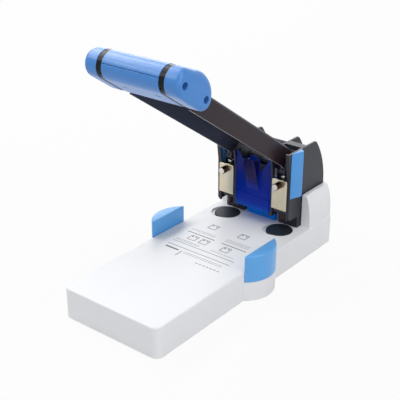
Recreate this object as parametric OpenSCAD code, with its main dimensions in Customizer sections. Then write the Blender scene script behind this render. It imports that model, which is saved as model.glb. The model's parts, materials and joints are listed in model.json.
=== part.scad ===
// Heavy duty two-hole lever punch, millimetres, +Z up, +Y to the rear, +X to the right.
// The origin is under the middle of the base, on the surface that the feet stand on.
// The lever is drawn raised, with its punches lifted clear of the paper slot.

/* [Base] */
// Length of the base, front to rear
base_l = 341; // [330:1:356]
// Width of the base without its side ears
base_w = 137.5; // [134:0.5:146]
// Height of the deck above the lower edge of the base
base_h = 37; // [35:0.5:42]
// Wall of the moulded base
shell_t = 3; // [2.6:0.1:3.4]
// Radius of the front corners in plan
front_r = 9; // [5:0.5:14]
// Radius of the rear corners in plan
rear_r = 6; // [4.5:0.5:9]
// Rounding of the deck's upper edges
deck_round = 1.6; // [1.2:0.1:3]
// Height of the rear cheeks above the deck
cheek_h = 42.5; // [36:0.5:46]
// Step from the side of the base in to the foot of a cheek
cheek_step = 1.2; // [0.6:0.1:2]
// Draw-in of each cheek's outer side from its foot to its top
cheek_taper = 6.3; // [4:0.1:7]
// Length of the cheeks, measured from the rear face
cheek_l = 53.5; // [46:0.5:56]
// Height of the rubber feet
foot_h = 2; // [1.8:0.1:4]
// Diameter of the rubber feet
foot_d = 18; // [12:1:24]
// Thickness of the steel bottom plate
plate_t = 2; // [1.5:0.1:2.5]
// Thickness of the steel sole plate under the deck
sole_t = 4; // [3:0.5:5]

/* [Side ears and guides] */
// Length of an ear along the side of the base
ear_l = 60; // [56:1:70]
// How far an ear stands out from the side
ear_out = 15.3; // [12:0.1:18]
// Height of the ears above the lower edge of the base
ear_h = 24; // [21:0.5:25.5]
// Distance of the ears' middle from the front of the base
ear_pos = 179; // [165:1:195]
// Height of a side guide
guide_h = 33; // [26:0.5:40]
// Travel of a side guide, up to half the width of an A4 sheet
guide_travel = 80; // [40:1:84]
// Width of the guide rails
rail_w = 14; // [10:0.5:16]
// Thickness of the guide rails
rail_t = 3; // [2:0.25:3.25]

/* [Punches] */
// Distance between the two hole centres
hole_spacing = 80; // [76:0.5:84]
// Diameter of the holes that are cut
hole_d = 6; // [5:0.1:6.5]
// Distance from the paper's edge to the hole centres
hole_margin = 12; // [10:0.5:13]
// Distance of the punch axes from the rear face of the base
punch_inset = 73.5; // [72:0.5:76]
// Free height under the raised punches
tip_gap = 12.5; // [12.4:0.1:15]
// Travel of the punches
stroke = 12; // [9:0.5:12]
// Length of the punches
punch_l = 60; // [58:0.5:64]
// Diameter of the punch shank
shank_d = 7; // [6.8:0.1:7.6]
// Diameter of the punch head
head_d = 8.6; // [8:0.1:10]
// Diameter of the cutting discs
disc_d = 33; // [26:0.5:36]
// Thickness of the cutting discs
disc_t = 3.2; // [3:0.1:3.6]
// Offset of the disc centres in front of the punch axes
disc_offset = 5.5; // [4:0.5:8]
// Distance of each disc's flat from its centre
disc_flat = 13; // [11:0.25:14.5]
// Turns of the return springs
spring_turns = 6; // [4:1:6]
// Wire diameter of the return springs
spring_wire = 1.3; // [1:0.1:1.4]

/* [Tower] */
// Height of the paper slot under the tower walls
paper_slot = 16; // [15.5:0.5:18]
// Height of the tower walls
wall_h = 88.7; // [86:0.1:94]
// Thickness of the tower walls
wall_t = 2.5; // [2:0.1:3]
// Gap from a punch axis to the inner wall
column_in = 11; // [10.5:0.1:11.5]
// Gap from a punch axis to the outer wall
column_out = 11.5; // [11:0.1:12]
// Distance of the walls' front edges in front of the punch axes
wall_lead = 7.5; // [7.2:0.1:9]
// Forward lean of the walls' front edges at the top
wall_lean = 5; // [2:0.5:6]
// Radius of the walls' curved rear edge
wall_rear_r = 95; // [88:1:105]
// Diameter of the lever's pivot shaft
pivot_d = 10; // [8:0.5:11]
// Width of the cassette front plates
cassette_w = 21.5; // [20:0.5:22]
// Height of the cassettes
cassette_h = 39.5; // [37:0.5:40]
// Diameter of the pull studs
stud_d = 9; // [6:0.5:10]
// Length of the pull studs
stud_l = 10; // [6:0.5:14]
// Height of the side pads
pad_h = 58.5; // [50:0.5:62]
// How far the side pads stand out
pad_out = 6.3; // [3:0.1:8]

/* [Chip box] */
// Height of the chip box body
box_h = 41; // [34:0.5:42]
// Height of the chip box's front panel at its two corners
panel_h = 72; // [64:0.5:73]
// Wall of the chip box
box_t = 2; // [1.6:0.1:2.6]
// Width of the round-topped pull
pull_w = 17.5; // [15:0.5:20]
// How far the leaning pull stands out at its top
pull_out = 12; // [10:0.5:13]

/* [Lever] */
// Slope of the raised lever in degrees
lever_rise = 34.4; // [33:0.1:36]
// Swing of the lever in degrees
swing = 29.6; // [28:0.1:31]
// Width over the lever's walls
lever_w = 82; // [80.5:0.5:83.5]
// Depth of the lever's channel
lever_h = 24.5; // [23:0.5:26]
// Thickness of the lever's sheet
lever_t = 2; // [1.6:0.1:2.4]
// Depth of the channel's lower edge below the pivot
lever_low = 5.1; // [4:0.1:6]
// Distance from the pivot to the rear end of the channel's top
lever_mouth = 33; // [32:0.5:38]
// Radius of the press shoes' noses
nose_r = 5; // [4:0.25:6]

/* [Grip] */
// Length of the grip across the lever
grip_l = 126; // [120:0.2:150]
// Distance from the pivot to the front of the grip
grip_reach = 301.9; // [280:0.1:320]
// Depth of the grip along the lever
grip_depth = 61.1; // [58:0.1:66]
// Height of the grip
grip_h = 34.5; // [33:0.1:38]
// Radius of the grip's front
grip_front_r = 15.7; // [14:0.1:17]
// Radius of the grip's rear
grip_rear_r = 11.2; // [10.4:0.1:13]
// Radius of the grip's crown
grip_top_r = 17.3; // [16:0.1:20]
// Distance from the grip's front back to its crown
grip_crown = 31.4; // [28:0.1:34]
// Rounding of the grip's ends
grip_round = 5; // [3:0.5:7]
// Wall of the grip shells
grip_t = 2.6; // [2.2:0.1:3]
// How far the bands reach past the lever's outer faces
band_pos = 4; // [3:0.1:5]
// Width of the bands
band_w = 7.2; // [6.6:0.1:8]

/* [Hidden] */
$fn = 64;
// Facets of the blended outlines
blend_fn = 32;

// Thickness of the slabs that a blended form is stretched over
slab = 0.05;

// Clearances
// Over-length of a cutting tool past the face that it cuts
cut = 1;
// Gap between a sliding or turning piece and its neighbour
slide_gap = 0.3;
// Radial gap of a running fit
run_gap = 0.05;
// Gap round a piece that is fixed in its seat
seat_gap = 0.1;
// Gap between a press shoe and its punch head
nose_gap = 0.3;

// Levels and places of the base
deck_z = foot_h + base_h;
front_y = -base_l / 2;
rear_y = base_l / 2;
under_z = deck_z - shell_t;
inner_w = base_w - 2 * shell_t;
boss_d = 8;
boss_x = inner_w / 2 - boss_d / 2;
boss_edge = 20.5;
boss_room = 18;
bottom_screw_d = 3;
bottom_head_d = 6;
bottom_head_h = 1.5;
bottom_screw_l = 14;
foot_side = 18;
foot_end = 40;
foot_x = base_w / 2 - foot_side;
foot_y = base_l / 2 - foot_end;
notch_x = 4.5;
notch_y = 2;
notch_depth = 2;

// Places of the punches and the tower
punch_x = hole_spacing / 2;
punch_y = rear_y - punch_inset;
disc_y = punch_y - disc_offset;
stop_y = punch_y + hole_margin;
slot_z = deck_z + paper_slot;
top_z = slot_z + wall_h;
wall_y = punch_y - wall_lead;
lean_rise = 70;
lean_z = deck_z + lean_rise;
inner_x = punch_x - column_in;
outer_x = punch_x + column_out;
tower_x = outer_x + wall_t;
flange_in = 2.5;
rear_gap = 0.5;
tower_rear_y = rear_y - shell_t - rear_gap;
rear_arc_y = tower_rear_y - wall_rear_r;
rear_arc_rise = 43;
rear_arc_z = deck_z + rear_arc_rise;
peak_r = 4;
tower_gap = 1;
cheek_in = tower_x + tower_gap;

// Heights along a punch
tip_z = deck_z + tip_gap;
head_z = tip_z + punch_l;
cap_h = 3.5;
neck_d = hole_d;
collar_d = 11.2;
collar_h = 3;
collar_drop = 10.5;
collar_z = head_z - collar_drop;
edge_l = 9;
stub_d = 8;
edge_t = 0.7;
chip_d = hole_d - 2 * edge_t;
head_rise = 4;
cassette_z = head_z - head_rise - cassette_h;
pocket_floor = 12;
pocket_z = cassette_z + pocket_floor;
pocket_d = collar_d + 2 * slide_gap;
block_gap = 3;
block_h = head_z - stroke - block_gap - cassette_z;
plate_y = wall_y - slide_gap;
plate_thick = 1.8;
block_back = 8.5;
cassette_rear_y = punch_y + block_back;
shelf_t = 6;
stud_drop = 6.2;
stud_z = cassette_z + cassette_h - stud_drop;

// Lever geometry, in a frame at the pivot with the lever level, front towards -Y
arm_r = stroke / 2 / sin(swing / 2);
nose_z = head_z + nose_gap + nose_r;
pivot_y = punch_y + arm_r * cos(swing / 2);
pivot_z = nose_z - stroke / 2;
nose_drop = lever_rise - swing / 2;
nose_u = arm_r * cos(nose_drop);
nose_v = -arm_r * sin(nose_drop);
lever_top = lever_h - lever_low;
pressed_rise = lever_rise - swing;
lobe_r = 11;
shoe_w = 8;
wall_mid = lever_w / 2 - lever_t / 2;
shoe_in = min(punch_x, wall_mid) - shoe_w / 2;
shoe_out = max(punch_x, wall_mid) + shoe_w / 2;
shoe_rise = 14;
shoe_floor = nose_v - 0.3 * nose_r;
rivet_d = 4;
rivet_rise = 9;
rivet_v = nose_v + rivet_rise;
sleeve_t = 2;
sleeve_d = pivot_d + 2 * sleeve_t;
boss_l = 3;
ring_t = 1.1;
ring_gap = 0.9;
ring_x = inner_x - wall_t - ring_gap;
groove_depth = 1;
shaft_half = outer_x - slide_gap;
relief_gap = 1;
relief_drop = 1.5;
mouth_v = lever_top - lever_t;
relief_r = norm([lever_mouth, mouth_v]) - relief_gap;
relief_z = pivot_z + lever_mouth * sin(pressed_rise) + mouth_v * cos(pressed_rise) - relief_drop;

// Grip geometry in the lever's frame
grip_low = -lever_low + seat_gap;
grip_rear_u = grip_reach - grip_depth;
front_c = [grip_reach - grip_front_r, grip_low + grip_front_r];
rear_c = [grip_rear_u + grip_rear_r, grip_low + grip_rear_r];
top_c = [grip_reach - grip_crown, grip_low + grip_h - grip_top_r];
seam_rise = 12.3;
seam_gap = 0.3;
seam_v = grip_low + seam_rise;
cap_x = lever_w / 2 + band_pos;
band_x = cap_x - band_w;
rod_d = 6;
rod_rise = 12.4;
rod_inset = 11;
rod_seat = 4;
rod_v = grip_low + rod_rise;
rod_rear_u = grip_rear_u + rod_inset;
rod_front_u = grip_reach - rod_inset;
rod_half = cap_x + rod_seat;
grip_half = grip_l / 2;
screw_d = 3.5;
screw_head_d = 6.5;
screw_head_h = 3;
cap_hole_d = 8;
cap_hole_l = 8;
nose_room = 6;
channel_end = grip_reach - nose_room;
end_cut = 6;
end_trim = 4;
entry_step = 1;
grip_entry = grip_rear_u + entry_step;
floor_gap = 0.5;
inside_low = grip_low + grip_t + floor_gap;

// Side guides and their rails
ear_y = front_y + ear_pos;
ear_r = (pow(ear_l / 2, 2) + pow(ear_out, 2)) / (2 * ear_out);
ear_x = base_w / 2 + ear_out - ear_r;
ear_z = foot_h + ear_h;
guide_z = ear_z + slide_gap;
guide_x = base_w / 2 + slide_gap;
guide_round = 2;
rail_drop = 2;
rail_z = under_z - rail_t - rail_drop;
rail_gap = 3;
rail_step = rail_w / 2 + rail_gap;
rail_plug = 7;
rail_hold = 30;
rail_in = guide_x - guide_travel - rail_hold;
keeper_l = 8;
keeper_t = 2;
keeper_far = 25;
keeper_near = 12;
keeper_rows = [guide_x - keeper_far, guide_x - keeper_near];
boss_step = rail_step + rail_w / 2 + slide_gap + keeper_t + boss_d / 2 + boss_room;
boss_rows = [front_y + boss_edge, ear_y - boss_step, ear_y + boss_step, rear_y - boss_edge];

// Chip box
box_x = inner_x - wall_t - slide_gap;
box_z = slot_z + flange_in + slide_gap;
box_back = 3.1;
box_rear_y = stop_y + box_back;
rest_w = 4;
apron_t = 2.5;
apron_x = inner_x - wall_t - rest_w - slide_gap;
pull_foot = 25;
pull_drop = 1.5;
pull_top = panel_h - pull_drop;

// Tower screws
tower_screw_d = 5;
tower_head_d = 8.5;
tower_head_h = 3;
hex_d = 4.6;
hex_depth = 1.8;
screw_front = 11;
screw_rear = 15;
screw_rows = [stop_y + screw_front, tower_rear_y - screw_rear];
ledge_w = 10;
ledge_end = 6;
screw_columns = [inner_x + ledge_w / 2, outer_x - ledge_w / 2];
web_t = 8;

// Window of a tower wall that lets the chips through
window_lead = 3.5;
window_y = punch_y - window_lead;
window_w = 8.5;
window_rise = 61;
window_z = deck_z + window_rise;
window_h = 29;

white = [0.95, 0.95, 0.96];
light_blue = [0.40, 0.65, 0.90];
charcoal = [0.20, 0.20, 0.23];
steel = [0.70, 0.71, 0.73];
plated = [0.80, 0.78, 0.72];
clear_blue = [0.05, 0.15, 0.65, 0.8];
black = [0.06, 0.06, 0.07];

// Return spring, raised: its wire's centre line, and the least gap between points half a turn or more apart
spring_l = collar_z - pocket_z - 2 * seat_gap;
spring_pitch = (spring_l - spring_wire) / spring_turns;
spring_r = (shank_d + pocket_d) / 4;
spring_steps = 12;
spring_line = [for (i = [0:spring_turns * spring_steps])
    let (a = 360 * i / spring_steps)
    [spring_r * cos(a), spring_r * sin(a), spring_pitch * i / spring_steps]];
echo(spring_gap = min([for (i = [0:len(spring_line) - 1])
    for (j = [i + spring_steps / 2:len(spring_line) - 1])
        norm(spring_line[j] - spring_line[i])]) - spring_wire);

// Side signs
left = -1;
right = 1;

// Plan of the base, drawn in by a margin
module base_plan(margin) {
    w = base_w - 2 * margin;
    l = base_l - 2 * margin;
    fr = front_r - margin * 0.6;
    rr = rear_r - margin * 0.6;
    translate([-w / 2 + fr, -l / 2]) square([w - 2 * fr, l / 2]);
    translate([-w / 2 + rr, 0]) square([w - 2 * rr, l / 2]);
    translate([-w / 2, -l / 2 + fr]) square([w, l - fr - rr]);
    for (s = [left, right]) {
        translate([s * (w / 2 - fr), -l / 2 + fr]) circle(fr);
        translate([s * (w / 2 - rr), l / 2 - rr]) circle(rr);
    }
}

// Base block with a rounded upper edge
module base_block() {
    hull() {
        translate([0, 0, foot_h]) linear_extrude(base_h - deck_round) base_plan(0, $fn = blend_fn);
        for (a = [30, 60, 90])
            translate([0, 0, deck_z - deck_round + deck_round * sin(a) - slab])
                linear_extrude(slab) base_plan(deck_round * (1 - cos(a)), $fn = blend_fn);
    }
}

// Rear surround whose sides draw in towards the top
module surround_block() {
    y0 = rear_y - cheek_l;
    root = 2 * deck_round;
    lean = 1.2;
    edge = 1.2;
    hull()
        for (t = [0, 0.35, 0.55, 0.7, 0.85, 0.95, 1]) {
            w = base_w - 2 * cheek_step - 2 * cheek_taper * pow(t, 3);
            back = rear_y - lean * pow(t, 3);
            inset = t == 1 ? edge : 0;
            translate([0, 0, deck_z - root + (cheek_h + root) * t])
                linear_extrude(slab) {
                    translate([-w / 2 + inset, y0 + inset])
                        square([w - 2 * inset, back - y0 - rear_r - inset]);
                    for (s = [left, right])
                        translate([s * (w / 2 - rear_r), back - rear_r])
                            circle(rear_r - inset, $fn = blend_fn);
                }
        }
}

// Round column of a side ear, cut inside the wall of the base
module ear(s) {
    x_cut = base_w / 2 - shell_t / 2;
    intersection() {
        translate([s * ear_x, ear_y, foot_h]) cylinder(r = ear_r, h = ear_h);
        translate([s > 0 ? x_cut : -x_cut - 2 * ear_r, ear_y - ear_r, foot_h])
            cube([2 * ear_r, 2 * ear_r, ear_h]);
    }
}

module base_shell() {
    color(white) difference() {
        union() {
            base_block();
            surround_block();
            for (s = [left, right])
                ear(s);
        }
        // Room for the tower between the cheeks
        translate([-cheek_in, rear_y - cheek_l - cut, deck_z])
            cube([2 * cheek_in, cheek_l + cut - shell_t, cheek_h + cut]);
        // Hollow underside
        difference() {
            translate([-inner_w / 2, -base_l / 2 + shell_t, foot_h - cut])
                cube([inner_w, base_l - 2 * shell_t, base_h - shell_t + cut]);
            for (y = boss_rows, s = [left, right])
                translate([s * boss_x, y, foot_h + plate_t]) cylinder(d = boss_d, h = base_h);
        }
        for (s = [left, right]) {
            // Seats of the cutting discs, with a finger notch beside each
            translate([s * punch_x, disc_y, under_z - cut])
                cylinder(d = disc_d + 2 * slide_gap, h = shell_t + 2 * cut);
            translate([s * punch_x - notch_x, disc_y - notch_y, deck_z - notch_depth])
                cylinder(d = disc_d - cut, h = notch_depth + cut);
            // Slots for the guide rails
            translate([s > 0 ? inner_w / 2 - cut : -base_w / 2 - cut,
                       ear_y - s * rail_step - rail_w / 2 - slide_gap, rail_z - slide_gap])
                cube([shell_t + 2 * cut, rail_w + 2 * slide_gap, rail_t + 2 * slide_gap]);
        }
        for (y = boss_rows, s = [left, right])
            translate([s * boss_x, y, foot_h + plate_t - cut])
                cylinder(d = bottom_screw_d + 2 * seat_gap, h = bottom_screw_l + cut);
        tower_screw_bores();
    }
}

// Plan of the bottom plate, clear of the base walls
module bottom_plate() {
    color(steel) difference() {
        translate([-inner_w / 2 + slide_gap, -base_l / 2 + shell_t + slide_gap, foot_h])
            cube([inner_w - 2 * slide_gap, base_l - 2 * shell_t - 2 * slide_gap, plate_t]);
        for (y = boss_rows, s = [left, right])
            translate([s * boss_x, y, foot_h - cut])
                cylinder(d = bottom_screw_d + 2 * seat_gap, h = plate_t + 2 * cut);
    }
}

module rubber_feet() {
    color(black)
        for (x = [-foot_x, foot_x], y = [-foot_y, foot_y])
            translate([x, y, 0]) cylinder(d1 = foot_d - 2, d2 = foot_d, h = foot_h);
}

module bottom_screws() {
    color(steel)
        for (y = boss_rows, s = [left, right])
            translate([s * boss_x, y, 0]) {
                translate([0, 0, foot_h - bottom_head_h]) cylinder(d = bottom_head_d, h = bottom_head_h);
                translate([0, 0, foot_h]) cylinder(d = bottom_screw_d, h = bottom_screw_l - cut);
            }
}

// Bores for the screws that tie walls, block, deck and sole plate together
module tower_screw_bores() {
    for (y = screw_rows, x = screw_columns, s = [left, right])
        translate([s * x, y, under_z - sole_t - cut])
            cylinder(d = tower_screw_d + 2 * seat_gap, h = slot_z + flange_in - under_z + sole_t + 2 * cut);
}

module tower_screws() {
    color(steel)
        for (y = screw_rows, x = screw_columns, s = [left, right])
            translate([s * x, y, under_z - sole_t]) {
                cylinder(d = tower_screw_d, h = slot_z + flange_in - under_z + sole_t);
                translate([0, 0, slot_z + flange_in - under_z + sole_t])
                    difference() {
                        cylinder(d = tower_head_d, h = tower_head_h);
                        translate([0, 0, tower_head_h - hex_depth])
                            cylinder(d = hex_d, h = hex_depth + cut, $fn = 6);
                    }
            }
}

module sole_plate() {
    lead = 6;
    y0 = disc_y - disc_d / 2 - lead;
    color(steel) difference() {
        translate([-tower_x, y0, under_z - sole_t]) cube([2 * tower_x, tower_rear_y - y0, sole_t]);
        for (s = [left, right])
            translate([s * punch_x, disc_y, under_z - sole_t - cut])
                cylinder(d = stub_d + 2 * run_gap, h = sole_t + 2 * cut);
        tower_screw_bores();
    }
}

// Bracket under the deck that a guide rail slides through
module rail_keepers() {
    w = rail_w + 2 * slide_gap + 2 * keeper_t;
    h = under_z - rail_z + slide_gap + keeper_t;
    color(steel)
        for (s = [left, right], x = keeper_rows)
            translate([s * x - keeper_l / 2, ear_y - s * rail_step, under_z])
                difference() {
                    translate([0, -w / 2, -h]) cube([keeper_l, w, h]);
                    translate([-cut, -rail_w / 2 - slide_gap, -h + keeper_t])
                        cube([keeper_l + 2 * cut, rail_w + 2 * slide_gap, rail_t + 2 * slide_gap]);
                }
}

// Block under the tower's walls, open in the middle in front of its rear web
module tower_block() {
    room_x = inner_x - wall_t;
    color(charcoal) difference() {
        translate([-tower_x, stop_y, deck_z]) cube([2 * tower_x, tower_rear_y - stop_y, slot_z - deck_z]);
        translate([-room_x, stop_y - cut, deck_z - cut])
            cube([2 * room_x, tower_rear_y - web_t - stop_y + cut, slot_z - deck_z + 2 * cut]);
        tower_screw_bores();
    }
}

// Side outline of a tower wall, in the YZ plane
module wall_outline() {
    difference() {
        intersection() {
            polygon([[wall_y, slot_z], [tower_rear_y + cut, slot_z], [tower_rear_y + cut, top_z],
                     [wall_y - wall_lean, top_z], [wall_y, lean_z]]);
            translate([rear_arc_y, rear_arc_z]) circle(wall_rear_r, $fn = 128);
        }
        peak_corner();
    }
}

// Waste outside the rounded peak between the level top and the curved rear
module peak_corner() {
    rise = top_z - rear_arc_z - peak_r;
    reach = sqrt(pow(wall_rear_r - peak_r, 2) - rise * rise);
    centre = [rear_arc_y + reach, rear_arc_z + rise];
    side = [rear_arc_y, rear_arc_z] + [reach, rise] * wall_rear_r / (wall_rear_r - peak_r);
    difference() {
        polygon([centre, [centre.x, top_z + cut], [side.x + 3 * peak_r, top_z + cut],
                 side + [3 * peak_r, 0], side]);
        translate(centre) circle(peak_r);
    }
}

// Space that the lever's top sweeps through in front of the pivot
module lever_relief() {
    difference() {
        translate([wall_y - 2 * wall_lean - relief_r, relief_z])
            square([pivot_y - wall_y + 2 * wall_lean + relief_r, top_z - relief_z + cut]);
        translate([pivot_y, pivot_z]) circle(relief_r);
    }
}

// Turns a YZ outline into a plate between two X planes
module plate_x(x0, x1) {
    translate([x0, 0, 0]) rotate([90, 0, 90]) linear_extrude(x1 - x0) children();
}

module window_cut(x0, x1) {
    translate([x0, window_y, window_z]) cube([x1 - x0, window_w, window_h]);
}

// Inner wall on the right, with its foot in the column and its rest for the chip box
module inner_wall() {
    difference() {
        union() {
            plate_x(inner_x - wall_t, inner_x) difference() {
                wall_outline();
                lever_relief();
            }
            translate([inner_x, stop_y + cut, slot_z])
                cube([ledge_w, tower_rear_y - stop_y - ledge_end - cut, flange_in]);
            translate([inner_x - wall_t - rest_w, wall_y, slot_z])
                cube([rest_w, box_rear_y - wall_y, flange_in]);
        }
        window_cut(inner_x - wall_t - cut, inner_x + cut);
        translate([inner_x - wall_t - cut, pivot_y, pivot_z]) rotate([0, 90, 0])
            cylinder(d = pivot_d + 2 * run_gap, h = wall_t + 2 * cut);
        tower_screw_bores();
    }
}

// Outer wall on the right, folded inwards along its front edge
module outer_wall() {
    chamfer = 4;
    difference() {
        union() {
            plate_x(outer_x, tower_x) wall_outline();
            plate_x(outer_x - flange_in, tower_x)
                polygon([[wall_y, slot_z], [wall_y, lean_z], [wall_y - wall_lean, top_z],
                         [wall_y - wall_lean + flange_in, top_z], [wall_y + flange_in, lean_z],
                         [wall_y + flange_in, slot_z]]);
            translate([outer_x - ledge_w, stop_y + cut, slot_z])
                cube([ledge_w, tower_rear_y - stop_y - ledge_end - cut, flange_in]);
            translate([outer_x - boss_l, pivot_y, pivot_z]) rotate([0, 90, 0])
                cylinder(d = pivot_d + 8, h = boss_l);
        }
        window_cut(outer_x - cut, tower_x + cut);
        translate([outer_x - boss_l - cut, pivot_y, pivot_z]) rotate([0, 90, 0])
            cylinder(d = pivot_d + 2 * run_gap, h = boss_l + cut);
        translate([tower_x, wall_y - cut, slot_z]) rotate([0, 45, 0])
            cube([chamfer, 2 * (flange_in + cut), chamfer], center = true);
        tower_screw_bores();
    }
}

module left_inner_wall() { color(charcoal) mirror([1, 0, 0]) inner_wall(); }
module right_inner_wall() { color(charcoal) inner_wall(); }
module left_outer_wall() { color(charcoal) mirror([1, 0, 0]) outer_wall(); }
module right_outer_wall() { color(charcoal) outer_wall(); }

// Bridge between the two walls of a column, above the lever
module bridge(s) {
    w = outer_x - inner_x;
    l = 11;
    t = 4;
    lip_h = 9;
    lip_t = 3;
    x0 = s > 0 ? inner_x : -outer_x;
    y0 = pivot_y - 5;
    color(charcoal) {
        translate([x0, y0, top_z - t]) cube([w, l, t]);
        translate([x0, y0 + l - lip_t, top_z - lip_h]) cube([w, lip_t, lip_h]);
    }
}

module left_bridge() { bridge(left); }
module right_bridge() { bridge(right); }

// Shelf between the two walls that carries a cassette
module shelf(s) {
    x0 = s > 0 ? inner_x : -outer_x;
    color(charcoal) difference() {
        translate([x0, wall_y + flange_in, cassette_z - shelf_t])
            cube([outer_x - inner_x, stop_y - wall_y - flange_in, shelf_t]);
        translate([s * punch_x, punch_y, cassette_z - shelf_t - cut])
            cylinder(d = shank_d + 2, h = shelf_t + 2 * cut);
    }
}

module left_shelf() { shelf(left); }
module right_shelf() { shelf(right); }

module spacer_rods() {
    half = inner_x - wall_t;
    spacer_d = 8;
    low_place = [tower_rear_y - 14, slot_z + 17];
    high_place = [tower_rear_y - 25, top_z - 14];
    color(steel)
        for (p = [low_place, high_place])
            translate([-half, p.x, p.y]) rotate([0, 90, 0]) cylinder(d = spacer_d, h = 2 * half);
}

module pivot_shaft() {
    groove_w = ring_t + 0.2;
    color(steel) translate([0, pivot_y, pivot_z]) rotate([0, 90, 0]) difference() {
        translate([0, 0, -shaft_half]) cylinder(d = pivot_d, h = 2 * shaft_half);
        for (s = [left, right])
            translate([0, 0, s * ring_x - groove_w / 2]) difference() {
                cylinder(d = pivot_d + cut, h = groove_w);
                translate([0, 0, -cut]) cylinder(d = pivot_d - 2 * groove_depth, h = groove_w + 2 * cut);
            }
    }
}

module retaining_rings() {
    color(steel)
        for (s = [left, right])
            translate([s * ring_x - ring_t / 2, pivot_y, pivot_z]) rotate([0, 90, 0]) difference() {
                cylinder(d = pivot_d + 4, h = ring_t);
                translate([0, 0, -cut])
                    cylinder(d = pivot_d - 2 * groove_depth + 2 * run_gap, h = ring_t + 2 * cut);
                translate([-pivot_d / 4, 0, -cut]) cube([pivot_d / 2, pivot_d, ring_t + 2 * cut]);
            }
}

// Wedge pad on the outside of a tower wall, with the tongue that fills the wall's window
module side_pad() {
    lead = 0.5;
    back = 21.8;
    edge = 0.8;
    slant = 5;
    z0 = top_z - pad_h;
    translate([tower_x, wall_y + lead, z0]) linear_extrude(pad_h)
        polygon([[0, 0], [edge, 0], [pad_out, back - slant - edge], [pad_out, back - slant], [0, back]]);
    translate([outer_x + seat_gap, window_y + seat_gap, window_z + seat_gap])
        cube([wall_t, window_w - 2 * seat_gap, window_h - 2 * seat_gap]);
}

module left_side_pad() { color(light_blue) mirror([1, 0, 0]) side_pad(); }
module right_side_pad() { color(light_blue) side_pad(); }

// Cassette block with a guide bore and the spring's pocket
module cassette_body(s) {
    x0 = punch_x - column_in + slide_gap;
    x1 = outer_x - flange_in - slide_gap;
    color(steel) difference() {
        translate([s > 0 ? x0 : -x1, plate_y, cassette_z])
            cube([x1 - x0, cassette_rear_y - plate_y, block_h]);
        translate([s * punch_x, punch_y, cassette_z - cut])
            cylinder(d = shank_d + 2 * run_gap, h = block_h);
        translate([s * punch_x, punch_y, pocket_z]) cylinder(d = pocket_d, h = block_h);
    }
}

module left_cassette_body() { cassette_body(left); }
module right_cassette_body() { cassette_body(right); }

// Polished front plate with rounded upper corners
module cassette_plate(s) {
    r = 2;
    color(plated) translate([s * punch_x, plate_y, cassette_z]) rotate([90, 0, 0])
    linear_extrude(plate_thick) {
        translate([-cassette_w / 2, 0]) square([cassette_w, cassette_h - r]);
        translate([-cassette_w / 2 + r, 0]) square([cassette_w - 2 * r, cassette_h]);
        for (k = [left, right])
            translate([k * (cassette_w / 2 - r), cassette_h - r]) circle(r);
    }
}

module left_cassette_plate() { cassette_plate(left); }
module right_cassette_plate() { cassette_plate(right); }

// Turned stud that a cassette is pulled out by
module pull_stud(s) {
    bevel = 0.7;
    root = 1.2;
    color(plated) translate([s * punch_x, plate_y - plate_thick, stud_z]) rotate([90, 0, 0]) rotate_extrude()
        polygon([[0, 0], [stud_d / 2 - bevel, 0], [stud_d / 2 - bevel, root], [stud_d / 2, root + bevel],
                 [stud_d / 2, stud_l - bevel], [stud_d / 2 - bevel, stud_l], [0, stud_l]]);
}

module left_pull_stud() { pull_stud(left); }
module right_pull_stud() { pull_stud(right); }

// Turning disc that the punch cuts against, with one flat
module cutting_disc(s) {
    bevel = 0.5;
    color(charcoal) translate([s * punch_x, disc_y, under_z + seat_gap]) {
        difference() {
            rotate_extrude()
                polygon([[0, 0], [disc_d / 2, 0], [disc_d / 2, disc_t - bevel],
                         [disc_d / 2 - bevel, disc_t], [0, disc_t]]);
            translate([disc_flat, -disc_d / 2, -cut]) cube([disc_d, disc_d, disc_t + 2 * cut]);
        }
        translate([0, 0, cut - sole_t]) cylinder(d = stub_d, h = sole_t);
    }
}

module left_cutting_disc() { cutting_disc(left); }
module right_cutting_disc() { cutting_disc(right); }

// Hollow punch: sharpened edge, guided shank, spring collar, neck with a chip window, and head
module punch(s) {
    r = shank_d / 2;
    edge = 0.25;
    bevel = 0.6;
    step = 1;
    color(steel) translate([s * punch_x, punch_y, 0]) difference() {
        rotate_extrude()
            polygon([[0, tip_z], [chip_d / 2 + edge, tip_z], [hole_d / 2, tip_z + step],
                     [hole_d / 2, tip_z + edge_l],
                     [r, tip_z + edge_l + step], [r, collar_z], [collar_d / 2, collar_z],
                     [collar_d / 2, collar_z + collar_h], [neck_d / 2, collar_z + collar_h],
                     [neck_d / 2, head_z - cap_h], [head_d / 2, head_z - cap_h], [head_d / 2, head_z - bevel],
                     [head_d / 2 - bevel, head_z], [0, head_z]]);
        translate([0, 0, tip_z - cut]) cylinder(d = chip_d, h = head_z - cap_h - tip_z + cut);
        translate([s > 0 ? -head_d : 0, -chip_d / 2, collar_z + collar_h])
            cube([head_d, chip_d, head_z - cap_h - collar_z - collar_h]);
    }
}

module left_punch() { punch(left); }
module right_punch() { punch(right); }

// Coil round a punch shank: rings of a wire swept up a helix
module return_spring(s) {
    sides = 6;
    rings = spring_turns * spring_steps;
    wire_r = spring_wire / 2;
    points = [for (i = [0:rings], k = [0:sides - 1])
        let (c = spring_line[i], b = 360 * k / sides, out = 1 + wire_r * cos(b) / spring_r)
        [c.x * out, c.y * out, c.z + wire_r * sin(b)]];
    walls = [for (i = [0:rings - 1], k = [0:sides - 1], half = [0, 1])
        let (p = i * sides + k, q = i * sides + (k + 1) % sides)
        half == 0 ? [p, p + sides, q] : [q, p + sides, q + sides]];
    ends = concat([[for (k = [0:sides - 1]) k]], [[for (k = [sides - 1:-1:0]) rings * sides + k]]);
    color(black) translate([s * punch_x, punch_y, pocket_z + seat_gap + wire_r])
        polyhedron(points, concat(walls, ends));
}

module left_return_spring() { return_spring(left); }
module right_return_spring() { return_spring(right); }

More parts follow.
